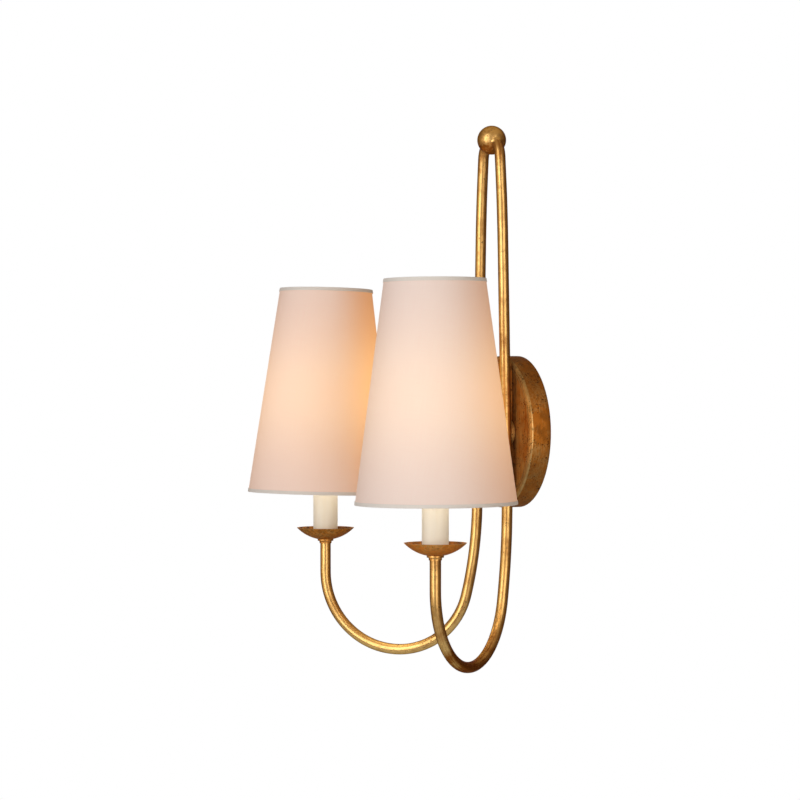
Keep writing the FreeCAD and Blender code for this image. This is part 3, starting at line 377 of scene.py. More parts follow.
def both(*names):
    """The right-hand and the left-hand node of every name."""
    return [side + "_" + name for name in names for side in SIDES]


# ---------------------------------------------------------------- node building
def opaque(colour):
    """A colour as the four values of a colour socket."""
    return (*colour, 1.0)


class Graph:
    """Shader nodes of one material, world or group, laid down with values or links on their inputs."""

    def __init__(self, tree):
        self.tree = tree

    def feed(self, socket, value):
        """Link a socket to another one, or set its value."""
        if isinstance(value, bpy.types.NodeSocket):
            self.tree.links.new(value, socket)
        else:
            socket.default_value = value

    def add(self, kind, inputs=None, **settings):
        """New node of a kind, with its settings and with values or links on its inputs."""
        node = self.tree.nodes.new("ShaderNode" + kind)
        for key, value in settings.items():
            setattr(node, key, value)
        for key, value in (inputs or {}).items():
            self.feed(node.inputs[key], value)
        return node

    def math(self, operation, *values, clamp=False):
        """One step of arithmetic."""
        node = self.add("Math", dict(enumerate(values)), operation=operation, use_clamp=clamp)
        return node.outputs[0]

    def chain(self, operation, first, *others, clamp=False):
        """Any number of values taken together two at a time. The last step may be clamped."""
        for place, value in enumerate(others, 1):
            first = self.math(operation, first, value, clamp=clamp and place == len(others))
        return first

    plus = partialmethod(chain, "ADD")
    minus = partialmethod(chain, "SUBTRACT")
    times = partialmethod(chain, "MULTIPLY")
    most = partialmethod(chain, "MAXIMUM")

    def size(self, value):
        """A value without its sign."""
        return self.math("ABSOLUTE", value)

    def vector_math(self, operation, *values):
        """Outputs of one step with vectors."""
        return self.add("VectorMath", dict(enumerate(values)), operation=operation).outputs

    def length(self, vector, axes=(1, 1, 1)):
        """Length of a vector, counted along the axes that are 1."""
        counted = self.vector_math("MULTIPLY", vector, axes)[0]
        return self.vector_math("LENGTH", counted)["Value"]

    def scaled(self, vector, share):
        """A vector or colour times a number."""
        return self.add("VectorMath", {0: vector, "Scale": share}, operation="SCALE").outputs[0]

    def axis(self, vector, letter):
        """One coordinate of a vector."""
        return self.add("SeparateXYZ", {"Vector": vector}).outputs[letter]

    def facing(self, letter):
        """How far the surface faces along an axis: 1 along it, -1 against it."""
        return self.axis(self.add("TexCoord").outputs["Normal"], letter)

    def stretch(self, vector, scale, offset=(0, 0, 0)):
        """A vector scaled along each axis, then shifted."""
        return self.add("Mapping", {"Vector": vector, "Scale": scale, "Location": offset}).outputs[0]

    def noise(self, vector, scale, detail=3.0, rough=0.5):
        """Soft noise round 0.5."""
        inputs = {"Vector": vector, "Scale": scale, "Detail": detail, "Roughness": rough}
        return self.add("TexNoise", inputs).outputs["Fac"]

    def span(self, value, low, high, to_low=0.0, to_high=1.0, smooth=True):
        """The value carried from one range to another, held at its ends."""
        kind = "SMOOTHSTEP" if smooth else "LINEAR"
        inputs = {"Value": value, "From Min": low, "From Max": high, "To Min": to_low, "To Max": to_high}
        return self.add("MapRange", inputs, interpolation_type=kind).outputs["Result"]

    def waver(self, vector, scale, reach):
        """Soft noise as a length between -reach and reach, which frays a mask's edge."""
        return self.span(self.noise(vector, scale, 2.0), 0.3, 0.7, -reach, reach)

    def blend(self, share, first, second, mode="MIX"):
        """Colour between two. In a Mix node for colours, inputs 6 and 7 are the colours."""
        inputs = {0: share, 6: first, 7: second}
        return self.add("Mix", inputs, data_type="RGBA", blend_type=mode).outputs[2]

    def toned(self, share, colour, darkest, lightest=1.0):
        """A colour between two shares of its brightness, and never brighter than white."""
        ends = (opaque(min(1.0, value * end) for value in colour) for end in (darkest, lightest))
        return self.blend(share, *ends)

    def bump(self, height, distance):
        """Normal of a surface in relief, where a height of 1 stands that distance proud."""
        return self.add("Bump", {"Height": height, "Distance": distance}).outputs[0]

    def effect(self, name, inputs):
        """Outputs of a shared effect, whose node group is built the first time that it is asked for."""
        tree = bpy.data.node_groups.get(name) or build_effect(name)
        return self.add("Group", inputs, node_tree=tree).outputs


EFFECTS = {}


def shared_effect(name, inputs, outputs):
    """Enter a function as the shared effect of that name, with its sockets' names and kinds.

    The function gets the graph and the input sockets, and gives the outputs in their order.
    """
    def enter(work_out):
        EFFECTS[name] = (inputs, outputs, work_out)
        return work_out
    return enter


def build_effect(name):
    """Node group of a shared effect."""
    inputs, outputs, work_out = EFFECTS[name]
    tree = bpy.data.node_groups.new(name, "ShaderNodeTree")
    for way, sockets in (("INPUT", inputs), ("OUTPUT", outputs)):
        for label, kind in sockets.items():
            tree.interface.new_socket(name=label, in_out=way, socket_type="NodeSocket" + kind)
    entry = tree.nodes.new("NodeGroupInput").outputs
    leave = tree.nodes.new("NodeGroupOutput").inputs
    graph = Graph(tree)
    for label, value in zip(outputs, work_out(graph, entry)):
        graph.feed(leave[label], value)
    return tree


def open_graph(owner):
    """Graph of a material or world, with no nodes in it."""
    owner.use_nodes = True
    owner.node_tree.nodes.clear()
    return Graph(owner.node_tree)


def open_material(name):
    """Fresh material and its graph."""
    material = bpy.data.materials.new(name)
    return material, open_graph(material)


def principled(material, g, inputs):
    """Close a material with one Principled shader on its surface."""
    g.add("OutputMaterial", {"Surface": g.add("BsdfPrincipled", inputs).outputs[0]})
    return material


def object_place(g, centre=(0, 0, 0)):
    """Object coordinates measured from a centre."""
    place = g.add("TexCoord").outputs["Object"]
    return g.stretch(place, (1, 1, 1), tuple(-value for value in centre))


def cloth_place(g):
    """The piece's UV, in metres."""
    return g.add("UVMap", None, uv_map="UVMap").outputs[0]


def along_tube(g):
    """The tube as if it were straight: across, across, and the length along it from the ball."""
    return g.add("Attribute", None, attribute_name="straight").outputs["Vector"]


# ---------------------------------------------------------------- shared effects
@shared_effect("Antique gilding", {"Vector": "Vector", "Streaks": "Vector", "Glaze": "Float",
                                  "Brown": "Color", "Rubbed": "Float", "Soot": "Float",
                                  "Dullness": "Float"},
               {"Color": "Color", "Metallic": "Float", "Roughness": "Float", "Height": "Float"})
def antique_gilding(g, entry):
    """Gold under a glaze in soft patches, with brush streaks and pits, Soot for sooty places and painted
    shade, and Rubbed for rubbed edges and painted highlights.
    """
    settings = bpy.context.scene.sconce_gilt
    place = entry["Vector"]
    cloud = g.noise(place, 46.0, 3.0, 0.55)
    mottle = g.noise(place, 230.0, 1.5)
    streak = g.noise(entry["Streaks"], 1.0, 2.5, 0.6)
    speck = g.noise(place, 560.0, 2.0)
    patch = g.noise(place, 85.0, 2.0)
    glaze = g.plus(g.span(cloud, 0.36, 0.66, -0.24, 0.24), entry["Glaze"],
                   g.span(mottle, 0.35, 0.65, -0.10, 0.10), g.span(streak, 0.33, 0.67, -0.24, 0.24))
    glaze = g.minus(glaze, entry["Rubbed"], clamp=True)
    pits = g.times(g.span(speck, 0.64, 0.70), g.span(patch, 0.48, 0.60))
    rubbed = g.times(entry["Rubbed"], g.span(mottle, 0.30, 0.60, 0.6, 1.0), clamp=True)
    soot = g.times(entry["Soot"], g.span(mottle, 0.30, 0.70, 1.0, 0.72))
    soot = g.most(soot, g.times(pits, 0.85), clamp=True)
    colour = g.blend(glaze, opaque(settings.gold), entry["Brown"])
    colour = g.blend(rubbed, colour, opaque(settings.bright))
    colour = g.blend(soot, colour, opaque(settings.soot))
    metallic = g.minus(g.span(glaze, 0.0, 1.0, 0.98, 0.84), g.times(soot, 0.65))
    rough = g.plus(g.span(glaze, 0.0, 1.0, 0.33, 0.43), g.times(soot, 0.25),
                   g.times(entry["Dullness"], g.minus(1.0, rubbed)))
    height = g.minus(g.plus(g.times(mottle, 0.30), g.times(streak, 0.22)), g.times(pits, 0.9))
    return colour, metallic, rough, height


@shared_effect("Band", {"Value": "Float", "Centre": "Float", "Width": "Float"}, {"Mask": "Float"})
def band(g, entry):
    """Mask that is nearly 1 on a value and fades to 0 at a width on both sides of it."""
    away = g.size(g.minus(entry["Value"], entry["Centre"]))
    share = g.minus(1.0, g.math("DIVIDE", away, entry["Width"]), clamp=True)
    return [g.math("SMOOTH_MIN", share, 1.0, 0.2)]


@shared_effect("Plain weave", {"Vector": "Vector", "Thread": "Float"},
               {"Tone": "Float", "Height": "Float"})
def plain_weave(g, entry):
    """Plain weave on a UV in metres: crossing threads, with slubs along both directions."""
    cloth = entry["Vector"]
    turns = g.math("DIVIDE", math.pi, entry["Thread"])
    warp, weft = (g.math("SINE", g.times(g.axis(cloth, letter), turns)) for letter in "XY")
    threads = g.plus(g.times(g.size(warp), 0.5), g.times(g.size(weft), 0.5))
    upright = g.noise(g.stretch(cloth, (1500.0, 40.0, 1.0)), 1.0, 2.0)
    level = g.noise(g.stretch(cloth, (50.0, 1600.0, 1.0)), 1.0, 2.0)
    slubs = g.plus(g.times(upright, 0.55), g.times(level, 0.45))
    tone = g.plus(g.span(slubs, 0.36, 0.64, -0.3, 0.3, smooth=False), g.times(warp, weft, 0.20))
    return tone, g.plus(g.times(threads, 0.8), g.times(slubs, 0.6))


@shared_effect("Handling", {"Vector": "Vector", "Scale": "Float"},
               {"Tone": "Float", "Height": "Float"})
def handling(g, entry):
    """Faint mottling that any worked surface has: a tone round zero and a fine height."""
    broad = g.noise(entry["Vector"], entry["Scale"], 3.0, 0.55)
    fine = g.noise(entry["Vector"], g.times(entry["Scale"], 9.0), 2.0)
    return g.minus(g.plus(g.times(broad, 1.4), g.times(fine, 0.6)), 1.0), fine


@shared_effect("Bulb glow", {"Vector": "Vector", "Strength": "Float", "Return": "Float"},
               {"Color": "Color", "Wall side": "Float"})
def bulb_glow(g, entry):
    """Light of the bulb through the cloth.

    Its strength is reach / distance from the bulb's middle, and grows towards the wall, which throws
    warm light back on that side. Near the bulb its colour is a little paler.
    """
    settings = bpy.context.scene.sconce_shade
    place = entry["Vector"]
    share = g.math("DIVIDE", settings.glow_reach, g.length(place))
    wall_side = g.span(g.math("DIVIDE", g.axis(place, "Y"), g.length(place, (1, 1, 0))), -0.3, 0.9)
    gain = g.plus(g.times(wall_side, entry["Return"]), 1.0)
    colour = g.blend(g.span(share, 0.5, 1.0), opaque(settings.glow_far), opaque(settings.glow_near))
    return g.scaled(colour, g.times(share, gain, entry["Strength"])), wall_side


# ---------------------------------------------------------------- materials
# Ranges that the tones of Handling and of Plain weave are spread over.
HANDLING_TONE = (-0.6, 0.6)
WEAVE_TONE = (-0.5, 0.5)


def gilt_material(name, glaze, place_on, streaks, rubbed=0.0, soot=0.0, dull=0.0, under="brown"):
    """Gilt iron.

    place_on(graph) gives the place on the piece, and streaks is how closely the brush streaks lie
    along each axis. glaze, rubbed and the mask for Soot are numbers or functions of (graph, place), and
    under names the setting that holds the glaze's colour. rubbed also carries painted highlights, and the
    mask for Soot painted shade.
    """
    settings = bpy.context.scene.sconce_gilt
    material, g = open_material(name)
    place = place_on(g)
    inputs = {"Vector": place, "Streaks": g.stretch(place, streaks), "Dullness": dull,
              "Brown": opaque(getattr(settings, under))}
    for label, mask in (("Glaze", glaze), ("Rubbed", rubbed), ("Soot", soot)):
        inputs[label] = mask(g, place) if callable(mask) else mask
    gilding = g.effect("Antique gilding", inputs)
    return principled(material, g, {
        "Base Color": gilding["Color"], "Metallic": gilding["Metallic"],
        "Roughness": gilding["Roughness"], "Normal": g.bump(gilding["Height"], 0.05 * MM),
        "Specular Tint": opaque(settings.edge)})


# Colour, roughness, metallic, how far the tone spreads, and the mottling's scale and relief.
PLAIN_FINISHES = {
    "coated wire": ((0.78, 0.77, 0.72), 0.35, 0.0, 0.10, 300.0, 0.04 * MM),
    "nickel shell": ((0.72, 0.70, 0.65), 0.22, 1.0, 0.10, 260.0, 0.04 * MM),
    "black glass": ((0.03, 0.03, 0.04), 0.18, 0.0, 0.20, 300.0, 0.04 * MM),
    "solder": ((0.58, 0.58, 0.57), 0.42, 1.0, 0.25, 700.0, 0.12 * MM),
    "phenolic": ((0.035, 0.03, 0.028), 0.32, 0.0, 0.35, 420.0, 0.05 * MM),
    "pressed brass": ((0.78, 0.57, 0.24), 0.26, 1.0, 0.18, 220.0, 0.04 * MM),
    "green earth screw": ((0.05, 0.26, 0.11), 0.38, 0.6, 0.25, 500.0, 0.04 * MM),
    "white jacket": ((0.78, 0.76, 0.70), 0.45, 0.0, 0.08, 120.0, 0.04 * MM),
    "black insulation": ((0.025, 0.025, 0.026), 0.40, 0.0, 0.30, 120.0, 0.04 * MM),
    "white insulation": ((0.80, 0.80, 0.77), 0.40, 0.0, 0.06, 120.0, 0.04 * MM),
    "orange wire nut": ((0.80, 0.24, 0.035), 0.33, 0.0, 0.10, 300.0, 0.04 * MM),
    "bare copper": ((0.80, 0.40, 0.22), 0.30, 1.0, 0.22, 260.0, 0.04 * MM),
}

# Colour, roughness, and how closely the marks lie along each axis.
BRUSHED_FINISHES = {
    "bracket steel": ((0.60, 0.60, 0.58), 0.34, (900.0, 900.0, 60.0)),
    "rolled steel": ((0.62, 0.62, 0.60), 0.36, (40.0, 900.0, 900.0)),
    "nipple steel": ((0.64, 0.62, 0.56), 0.34, (60.0, 2600.0, 60.0)),
}


def plain_material(name):
    """Painted, plated or moulded surface whose tone and roughness vary a little from place to place."""
    colour, roughness, metallic, spread, scale, relief = PLAIN_FINISHES[name]
    material, g = open_material(name)
    mottling = g.effect("Handling", {"Vector": object_place(g), "Scale": scale})
    tone = g.toned(g.span(mottling["Tone"], *HANDLING_TONE), colour, 1 - spread * 1.6, 1 + spread)
    rough = g.span(mottling["Tone"], *HANDLING_TONE, roughness * 0.8, roughness * 1.25)
    return principled(material, g, {
        "Base Color": tone, "Metallic": metallic, "Roughness": rough,
        "Normal": g.bump(mottling["Height"], relief)})


def brushed_material(name):
    """Drawn or rolled metal with fine marks along the axes where they lie least closely."""
    colour, roughness, grain = BRUSHED_FINISHES[name]
    material, g = open_material(name)
    place = object_place(g)
    marks = g.noise(g.stretch(place, grain), 1.0, 4.0, 0.7)
    share = g.span(g.plus(marks, g.times(g.noise(place, 90.0), 0.6)), 0.6, 1.0)
    return principled(material, g, {
        "Base Color": g.toned(share, colour, 0.72), "Metallic": 1.0,
        "Roughness": g.span(marks, 0.3, 0.7, roughness * 0.8, roughness * 1.3),
        "Normal": g.bump(marks, 0.03 * MM)})


def glass_material(name, tint, roughness):
    """Blown glass with a faint waviness."""
    material, g = open_material(name)
    waves = g.noise(object_place(g), 160.0, 2.0)
    return principled(material, g, {
        "Base Color": opaque(tint), "Roughness": roughness, "Transmission Weight": 1.0,
        "IOR": 1.48, "Normal": g.bump(waves, 0.02 * MM)})


def linen_material(side, lamp):
    """Lit linen: woven, with the bulb's glow in it, and painted shade on its wall side."""
    settings = bpy.context.scene.sconce_shade
    material, g = open_material(side + " linen")
    glow = g.effect("Bulb glow", {
        "Vector": object_place(g, lamp), "Strength": getattr(settings, side + "_glow"),
        "Return": getattr(settings, side + "_return")})
    # Painted shade on the cloth's wall side, more of it on the left-hand shade.
    wall_shaded = g.times(g.span(glow["Wall side"], 0.0, 1.0, 0.14, 1.0, smooth=False),
                     getattr(settings, side + "_smoke"))
    weave = g.effect("Plain weave", {"Vector": cloth_place(g), "Thread": settings.thread})
    share = g.span(weave["Tone"], *WEAVE_TONE, smooth=False)
    cloth = g.toned(share, settings.linen, 0.955)
    threads = g.blend(share, (0.955, 0.95, 0.94, 1.0), WHITE)
    return principled(material, g, {
        "Base Color": g.blend(wall_shaded, cloth, opaque(settings.wall_shade)),
        "Roughness": g.span(weave["Tone"], *WEAVE_TONE, 0.94, 0.84), "Specular IOR Level": 0.3,
        "Emission Color": g.blend(1.0, glow["Color"], threads, "MULTIPLY"),
        "Emission Strength": 1.0, "Sheen Weight": 0.08, "Normal": g.bump(weave["Height"], 0.035 * MM)})


def backing_material(side, lamp):
    """Smooth white backing inside the shade, brightly lit by the bulb."""
    settings = bpy.context.scene.sconce_shade
    material, g = open_material(side + " backing")
    place = object_place(g, lamp)
    share = g.math("DIVIDE", settings.glow_reach, g.length(place))
    grain = g.effect("Handling", {"Vector": place, "Scale": 260.0})
    tone = g.toned(g.span(grain["Tone"], *HANDLING_TONE), settings.backing, 0.97)
    return principled(material, g, {
        "Base Color": tone, "Roughness": 0.5, "Specular IOR Level": 0.3,
        "Emission Color": g.scaled(settings.backing_glow, share), "Emission Strength": 1.0,
        "Normal": g.bump(grain["Height"], 0.03 * MM)})


def tape_material():
    """Woven binding tape with a little of the bulb's light in it."""
    settings = bpy.context.scene.sconce_shade
    material, g = open_material("binding tape")
    weave = g.effect("Plain weave", {"Vector": cloth_place(g), "Thread": 0.35 * MM})
    share = g.span(weave["Tone"], *WEAVE_TONE, smooth=False)
    return principled(material, g, {
        "Base Color": g.toned(share, settings.tape, 0.92),
        "Roughness": 0.9, "Normal": g.bump(weave["Height"], 0.05 * MM),
        "Emission Color": opaque(settings.tape_glow), "Emission Strength": 1.0})


def candle_material():
    """Satin ivory card with a faint waxy mottle drawn out along the sleeve."""
    ivory = bpy.context.scene.sconce_candle.ivory
    material, g = open_material("candle ivory")
    place = object_place(g)
    drawn = g.noise(g.stretch(place, (170.0, 170.0, 22.0)), 1.0)
    grain = g.noise(place, 900.0, 2.0)
    warm = opaque(value * share for value, share in zip(ivory, (0.985, 0.97, 0.94)))
    return principled(material, g, {
        "Base Color": g.blend(g.span(drawn, 0.35, 0.65), warm, opaque(ivory)),
        "Roughness": g.span(grain, 0.3, 0.7, 0.38, 0.50),
        "Normal": g.bump(g.plus(drawn, g.times(grain, 0.15)), 0.10 * MM),
        "Coat Weight": 0.15, "Coat Roughness": 0.3})


def filament_material():
    """Lit rod with faint bands of its coating along it."""
    settings = bpy.context.scene.sconce_bulb
    material, g = open_material("filament glow")
    bands = g.noise(g.stretch(object_place(g), (900.0, 900.0, 2600.0)), 1.0, 2.0)
    return principled(material, g, {
        "Base Color": opaque(settings.rod_glow), "Roughness": 0.5,
        "Emission Color": g.toned(g.span(bands, 0.35, 0.65), settings.rod_glow, 0.8),
        "Emission Strength": settings.rod_power})


# ---------------------------------------------------------------- gilt iron: arms and ball
ARCH_ALONG = np.array([1.0, 0, 0])
ARCH_DOWN = np.array([0, 0, -1.0])

# Glaze of each arm: its plain amount, and the amount in the middle of the loop's glaze, which lies
# a little past the loop's lowest point. The arms differ only as painted light: the right-hand loop's
# thick glaze is painted shade, and the left-hand arm's thin glaze and bare loop are a painted highlight.
ARM_GLAZE_AND_LIGHT = {"right": (0.20, 0.85), "left": (0.08, -0.20)}
GLAZE_PAST_LOWEST = 8 * MM


def arm_line(settings):
    """Centreline of the right-hand arm: points, headings, lengths along it, and the loop's direction.

    Each bend is an arc: P + R sin(a) T + R (1 - cos(a)) S, with the heading T cos(a) + S sin(a),
    where S points to the bend's centre. The straight runs are P + s T.
    """
    points, headings = [], []
    state = {"at": np.array([0.0, BALL.y, BALL.z]), "along": ARCH_ALONG, "side": ARCH_DOWN}

    def bend(radius, turn, drawn=True):
        """Go round an arc, and keep its points if it is drawn."""
        angle = np.linspace(0, turn, max(2, int(radius * turn / settings.step)))[:, None]
        line = (state["at"] + state["along"] * radius * np.sin(angle)
                + state["side"] * radius * (1 - np.cos(angle)))
        heading = state["along"] * np.cos(angle) + state["side"] * np.sin(angle)
        state["side"] = state["side"] * math.cos(turn) - state["along"] * math.sin(turn)
        state["at"], state["along"] = line[-1], heading[-1]
        if drawn:
            points.append(line[:-1])
            headings.append(heading[:-1])

    def run(length):
        """Go straight on for a length."""
        share = np.linspace(0, length, max(2, int(length / settings.step)))[:, None]
        line = state["at"] + state["along"] * share
        points.append(line[:-1])
        headings.append(np.broadcast_to(state["along"], line.shape)[:-1])
        state["at"] = line[-1]

    bend(settings.arch_radius, settings.socket_turn, drawn=False)
    bend(settings.arch_radius, math.pi / 2 - settings.socket_turn - settings.arch_tilt)
    bend(settings.bow_radius, settings.arch_tilt - settings.leg_tilt)
    blend_start = settings.loop_level + settings.blend_radius * math.sin(settings.leg_tilt)
    run((state["at"][2] - blend_start) / math.cos(settings.leg_tilt))
    bend(settings.blend_radius, settings.leg_tilt)
    across = np.array([CANDLE.x, CANDLE.y, 0]) - state["at"] * (1, 1, 0)
    reach = np.linalg.norm(across)
    state["side"] = across / reach
    rise = (reach - settings.fall_radius * (1 - math.cos(settings.fall_turn))
            - settings.belly_radius * math.cos(settings.fall_turn))
    bend(settings.fall_radius, settings.fall_turn)
    bend(settings.belly_radius, math.pi / 2 - settings.fall_turn)
    bend(rise, math.pi / 2)
    run(TUBE_TOP - state["at"][2])
    line = np.concatenate(points + [state["at"][None]])
    heading = np.concatenate(headings + [state["along"][None]])
    length = np.linalg.norm(np.diff(line, axis=0, prepend=line[:1]), axis=1).cumsum()
    return line, heading, length, across / reach


def buried_line(settings):
    """Points and headings of the arch inside the ball: centre + R sin(a) T + R (1 - cos(a)) S."""
    angle = np.linspace(0, settings.socket_turn, 12)[:-1, None]
    offset = np.sin(angle) * ARCH_ALONG + (1 - np.cos(angle)) * ARCH_DOWN
    heading = np.cos(angle) * ARCH_ALONG + np.sin(angle) * ARCH_DOWN
    return np.array(BALL) + settings.arch_radius * offset, heading


def spokes(heading, across, angle):
    """Unit directions square to each heading: cos(a) N + sin(a) B for every angle.

    N is the level direction square to across, made square to the heading, and B is heading x N.
    """
    fixed = np.cross([0, 0, 1.0], across)
    normal = fixed - heading * (heading @ fixed)[:, None]
    normal /= np.linalg.norm(normal, axis=1, keepdims=True)
    side = np.cross(heading, normal)
    return np.cos(angle)[:, None] * normal[:, None] + np.sin(angle)[:, None] * side[:, None]


def arm_surface(name, mirror, settings):
    """Round tube carried along the arm: P + r (cos(a) N + sin(a) B), with r = R less shallow hollows.

    The hollows are a sum of sines of the angle and the length, never above the tube's true radius.
    """
    line, heading, length, across = arm_line(settings)
    steps = 40
    angle = turn_angles(steps)
    s = length[:, None]
    wave = (np.sin(2 * angle + s / 0.0131) + np.sin(3 * angle - s / 0.0079 + 1.3)
            + np.sin(angle + s / 0.0293 + 0.4) + np.sin(5 * angle + s / 0.0047 + 2.1)) / 4
    r = TUBE_RADIUS - settings.unevenness * (0.5 + 0.5 * wave)
    skin = line[:, None] + r[..., None] * spokes(heading, across, angle)
    skin = capped(line[0], skin, line[-1]) * (mirror, 1, 1)
    straight = round_axis(r, angle, s)
    straight = capped(straight[0], straight, straight[-1])
    run = capped(length[0], length, length[-1])
    return lay_grid(name, skin, even_uv(run, TUBE_RADIUS, steps), straight=straight)


def fillet_surface(name, mirror, settings):
    """Braze fillet where a tube leaves the ball, as a closed ring round the tube.

    For every angle a round the tube, A is where a tube wider by the fillet meets the ball, B where
    the tube's skin meets it, and C the skin's point a fillet further out. The outside is the
    parabola (1 - t)^2 A + 2 t (1 - t) B + t^2 C, and the ring closes through a point inside.
    """
    line, heading, _, across = arm_line(settings)
    # The arch inside the ball, and more of the arm's first rings than the fillet reaches.
    line, heading = (np.concatenate([start, rest[:30]])
                     for start, rest in zip(buried_line(settings), (line, heading)))
    centre = np.array(BALL)
    angle = turn_angles(48)
    out = spokes(heading, across, angle)

    def meets(radius, reach):
        """Points of a tube of that radius at a distance from the ball's centre, one per angle."""
        skin = line[:, None] + radius * out
        away = np.linalg.norm(skin - centre, axis=2)
        past = np.argmax(away > reach, axis=0)
        column = np.arange(len(angle))
        low, high = away[past - 1, column], away[past, column]
        share = ((reach - low) / (high - low))[:, None]
        return skin[past - 1, column] * (1 - share) + skin[past, column] * share

    sunk, buried = 0.03 * MM, 0.8 * MM
    ball, tube = BALL_RADIUS - sunk, TUBE_RADIUS - sunk
    start, corner = meets(tube + settings.fillet, ball), meets(tube, ball)
    end = meets(tube, ball + settings.fillet)
    t = np.linspace(0, 1, 9)[:, None, None]
    outside = (1 - t) ** 2 * start + 2 * t * (1 - t) * corner + t ** 2 * end
    points = np.concatenate([outside, meets(tube - buried, ball - buried)[None]]) * (mirror, 1, 1)
    run = np.linspace(0, 2 * settings.fillet, len(points))
    return lay_grid(name, points, even_uv(run, TUBE_RADIUS, len(angle)), closed=True)


def arm_glaze_and_shade(middle, plain, amount):
    """Glaze of an arm: its plain amount, and another one round the middle of its loop, which is painted
    light.

    It is thicker under the ball, and thicker on the side that faces the wall as painted shade.
    """
    def glaze(g, place):
        along = g.axis(place, "Z")
        uneven = g.waver(place, 90.0, 14 * MM)
        away = g.size(g.minus(along, middle))
        low = g.span(g.plus(away, uneven), 18 * MM, 72 * MM, amount, plain)
        top = g.span(g.plus(along, uneven), 16 * MM, 52 * MM, 0.45, 0.0)
        # Painted shade: more glaze on the side that faces the wall.
        return g.plus(low, top, g.span(g.facing("Y"), 0.1, 0.9, 0.0, 0.4))
    return glaze


def ball_painted_shade(g, place):
    """Painted shade as brown glaze on the ball's underside and wall side, by the distance from its centre.
    """
    under = g.span(g.axis(place, "Z"), 0.0, -8 * MM)
    return g.most(under, g.span(g.axis(place, "Y"), 1 * MM, 10 * MM, 0.0, 0.9))


def ball_crevice_shade(g, place):
    """Painted shade on the ball beside and under the tubes' ends: part of a ring round their common line.
    """
    away = g.plus(g.length(place, (0, 1, 1)), g.waver(place, 260.0, 0.9 * MM))
    ring = g.span(away, TUBE_RADIUS + 0.8 * MM, TUBE_RADIUS + 2.2 * MM, 0.9, 0.0)
    return g.times(ring, g.span(g.axis(place, "Z"), -2 * MM, -4 * MM))


def check_place(piece, node, slack):
    """Stop if a piece's box leaves its node's box by more than the slack."""
    corners = np.array([corner.co for corner in piece.data.vertices])
    for reach, limit in zip((corners.min(0), corners.max(0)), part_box(node)):
        if np.abs(reach - limit).max() > slack:
            raise RuntimeError(node + " leaves its place in the frame")


class SCONCE_OT_arms(bpy.types.Operator):
    """Both gilt arm tubes and the ball that they meet in"""
    bl_idname = "sconce.arms"
    bl_label = "Arms and ball"

    def execute(self, context):
        settings = context.scene.sconce_arm
        _, heading, length, _ = arm_line(settings)
        middle = length[np.argmax(heading[:, 2] > 0)] + GLAZE_PAST_LOWEST
        ball = gilt_material("gilded ball", ball_painted_shade, lambda g: object_place(g, BALL),
                             (420.0, 420.0, 420.0), soot=ball_crevice_shade, dull=0.05)
        coat(ball, "finial_ball")
        for side, mirror in SIDES.items():
            node = side + "_arm_tube"
            tube = arm_surface(side + "_gilt_arm", mirror, settings)
            check_place(tube, node, slack=0.5 * MM)
            gilt = gilt_material(side + " gilded arm", arm_glaze_and_shade(middle, *ARM_GLAZE_AND_LIGHT[side]), along_tube,
                                 (800.0, 800.0, 26.0))
            put(tube, "wall_frame", "gilded_iron", gilt, node)
        for side, mirror in SIDES.items():
            fillet = fillet_surface(side + "_braze_fillet", mirror, settings)
            put(fillet, "wall_frame", "gilded_iron", ball)
        return {"FINISHED"}


# ---------------------------------------------------------------- gilt iron: backplate
def plate_surface(name):
    """Spun pan about the wall's normal: outer side, beaded corner, face to the nipple's hole, inside."""
    rim, front = PLATE_RADIUS, -PLATE_FRONT
    face = front - BEAD_HEIGHT
    inside = face - PLATE_WALL
    outline = rounded(
        (rim, 0, 0.2 * MM),
        (rim, front, 2.6 * MM),
        (rim - OUTER_RIDGE, front, 0.3 * MM),
        (rim - BEAD_GROOVE, face, 0.3 * MM),
        (rim - INNER_RIDGE, front, 0.4 * MM),
        (rim - BEAD_WIDTH, face, 0.5 * MM),
        (NIPPLE_HOLE, face, 0.15 * MM),
        (NIPPLE_HOLE, inside, 0.15 * MM),
        (rim - PLATE_WALL, inside, 1.8 * MM),
        (rim - PLATE_WALL, 0, 0.2 * MM), steps=9)
    axes = np.array([(1, 0, 0), (0, 0, 1), (0, -1, 0)])
    return lathe(name, outline, np.zeros(3), axes, steps=192)


def axle_distance(g, place):
    """Distance from the backplate's axis."""
    return g.length(place, (1, 0, 1))


def front_mask(g, place, start, full):
    """Mask of the plate's front: 0 at one depth behind its foremost level, 1 at another."""
    return g.span(g.axis(place, "Y"), PLATE_FRONT + start, PLATE_FRONT + full)


def groove_mask(g, place, width):
    """Mask of the groove between the bead's two ridges."""
    return g.effect("Band", {"Value": axle_distance(g, place), "Centre": PLATE_RADIUS - BEAD_GROOVE,
                             "Width": width})["Mask"]


def plate_face(g, place):
    """Mask of the plate's flat face, inside its bead."""
    foot = PLATE_RADIUS - BEAD_WIDTH
    inside = g.span(axle_distance(g, place), foot - 1.1 * MM, foot - 0.1 * MM, 1.0, 0.0)
    return g.times(front_mask(g, place, 1.2 * MM, 0.8 * MM), inside)


def plate_glaze(g, place):
    """Glaze of the plate, thinner on its face than on its side."""
    return g.span(plate_face(g, place), 0.0, 1.0, 0.93, 0.58)


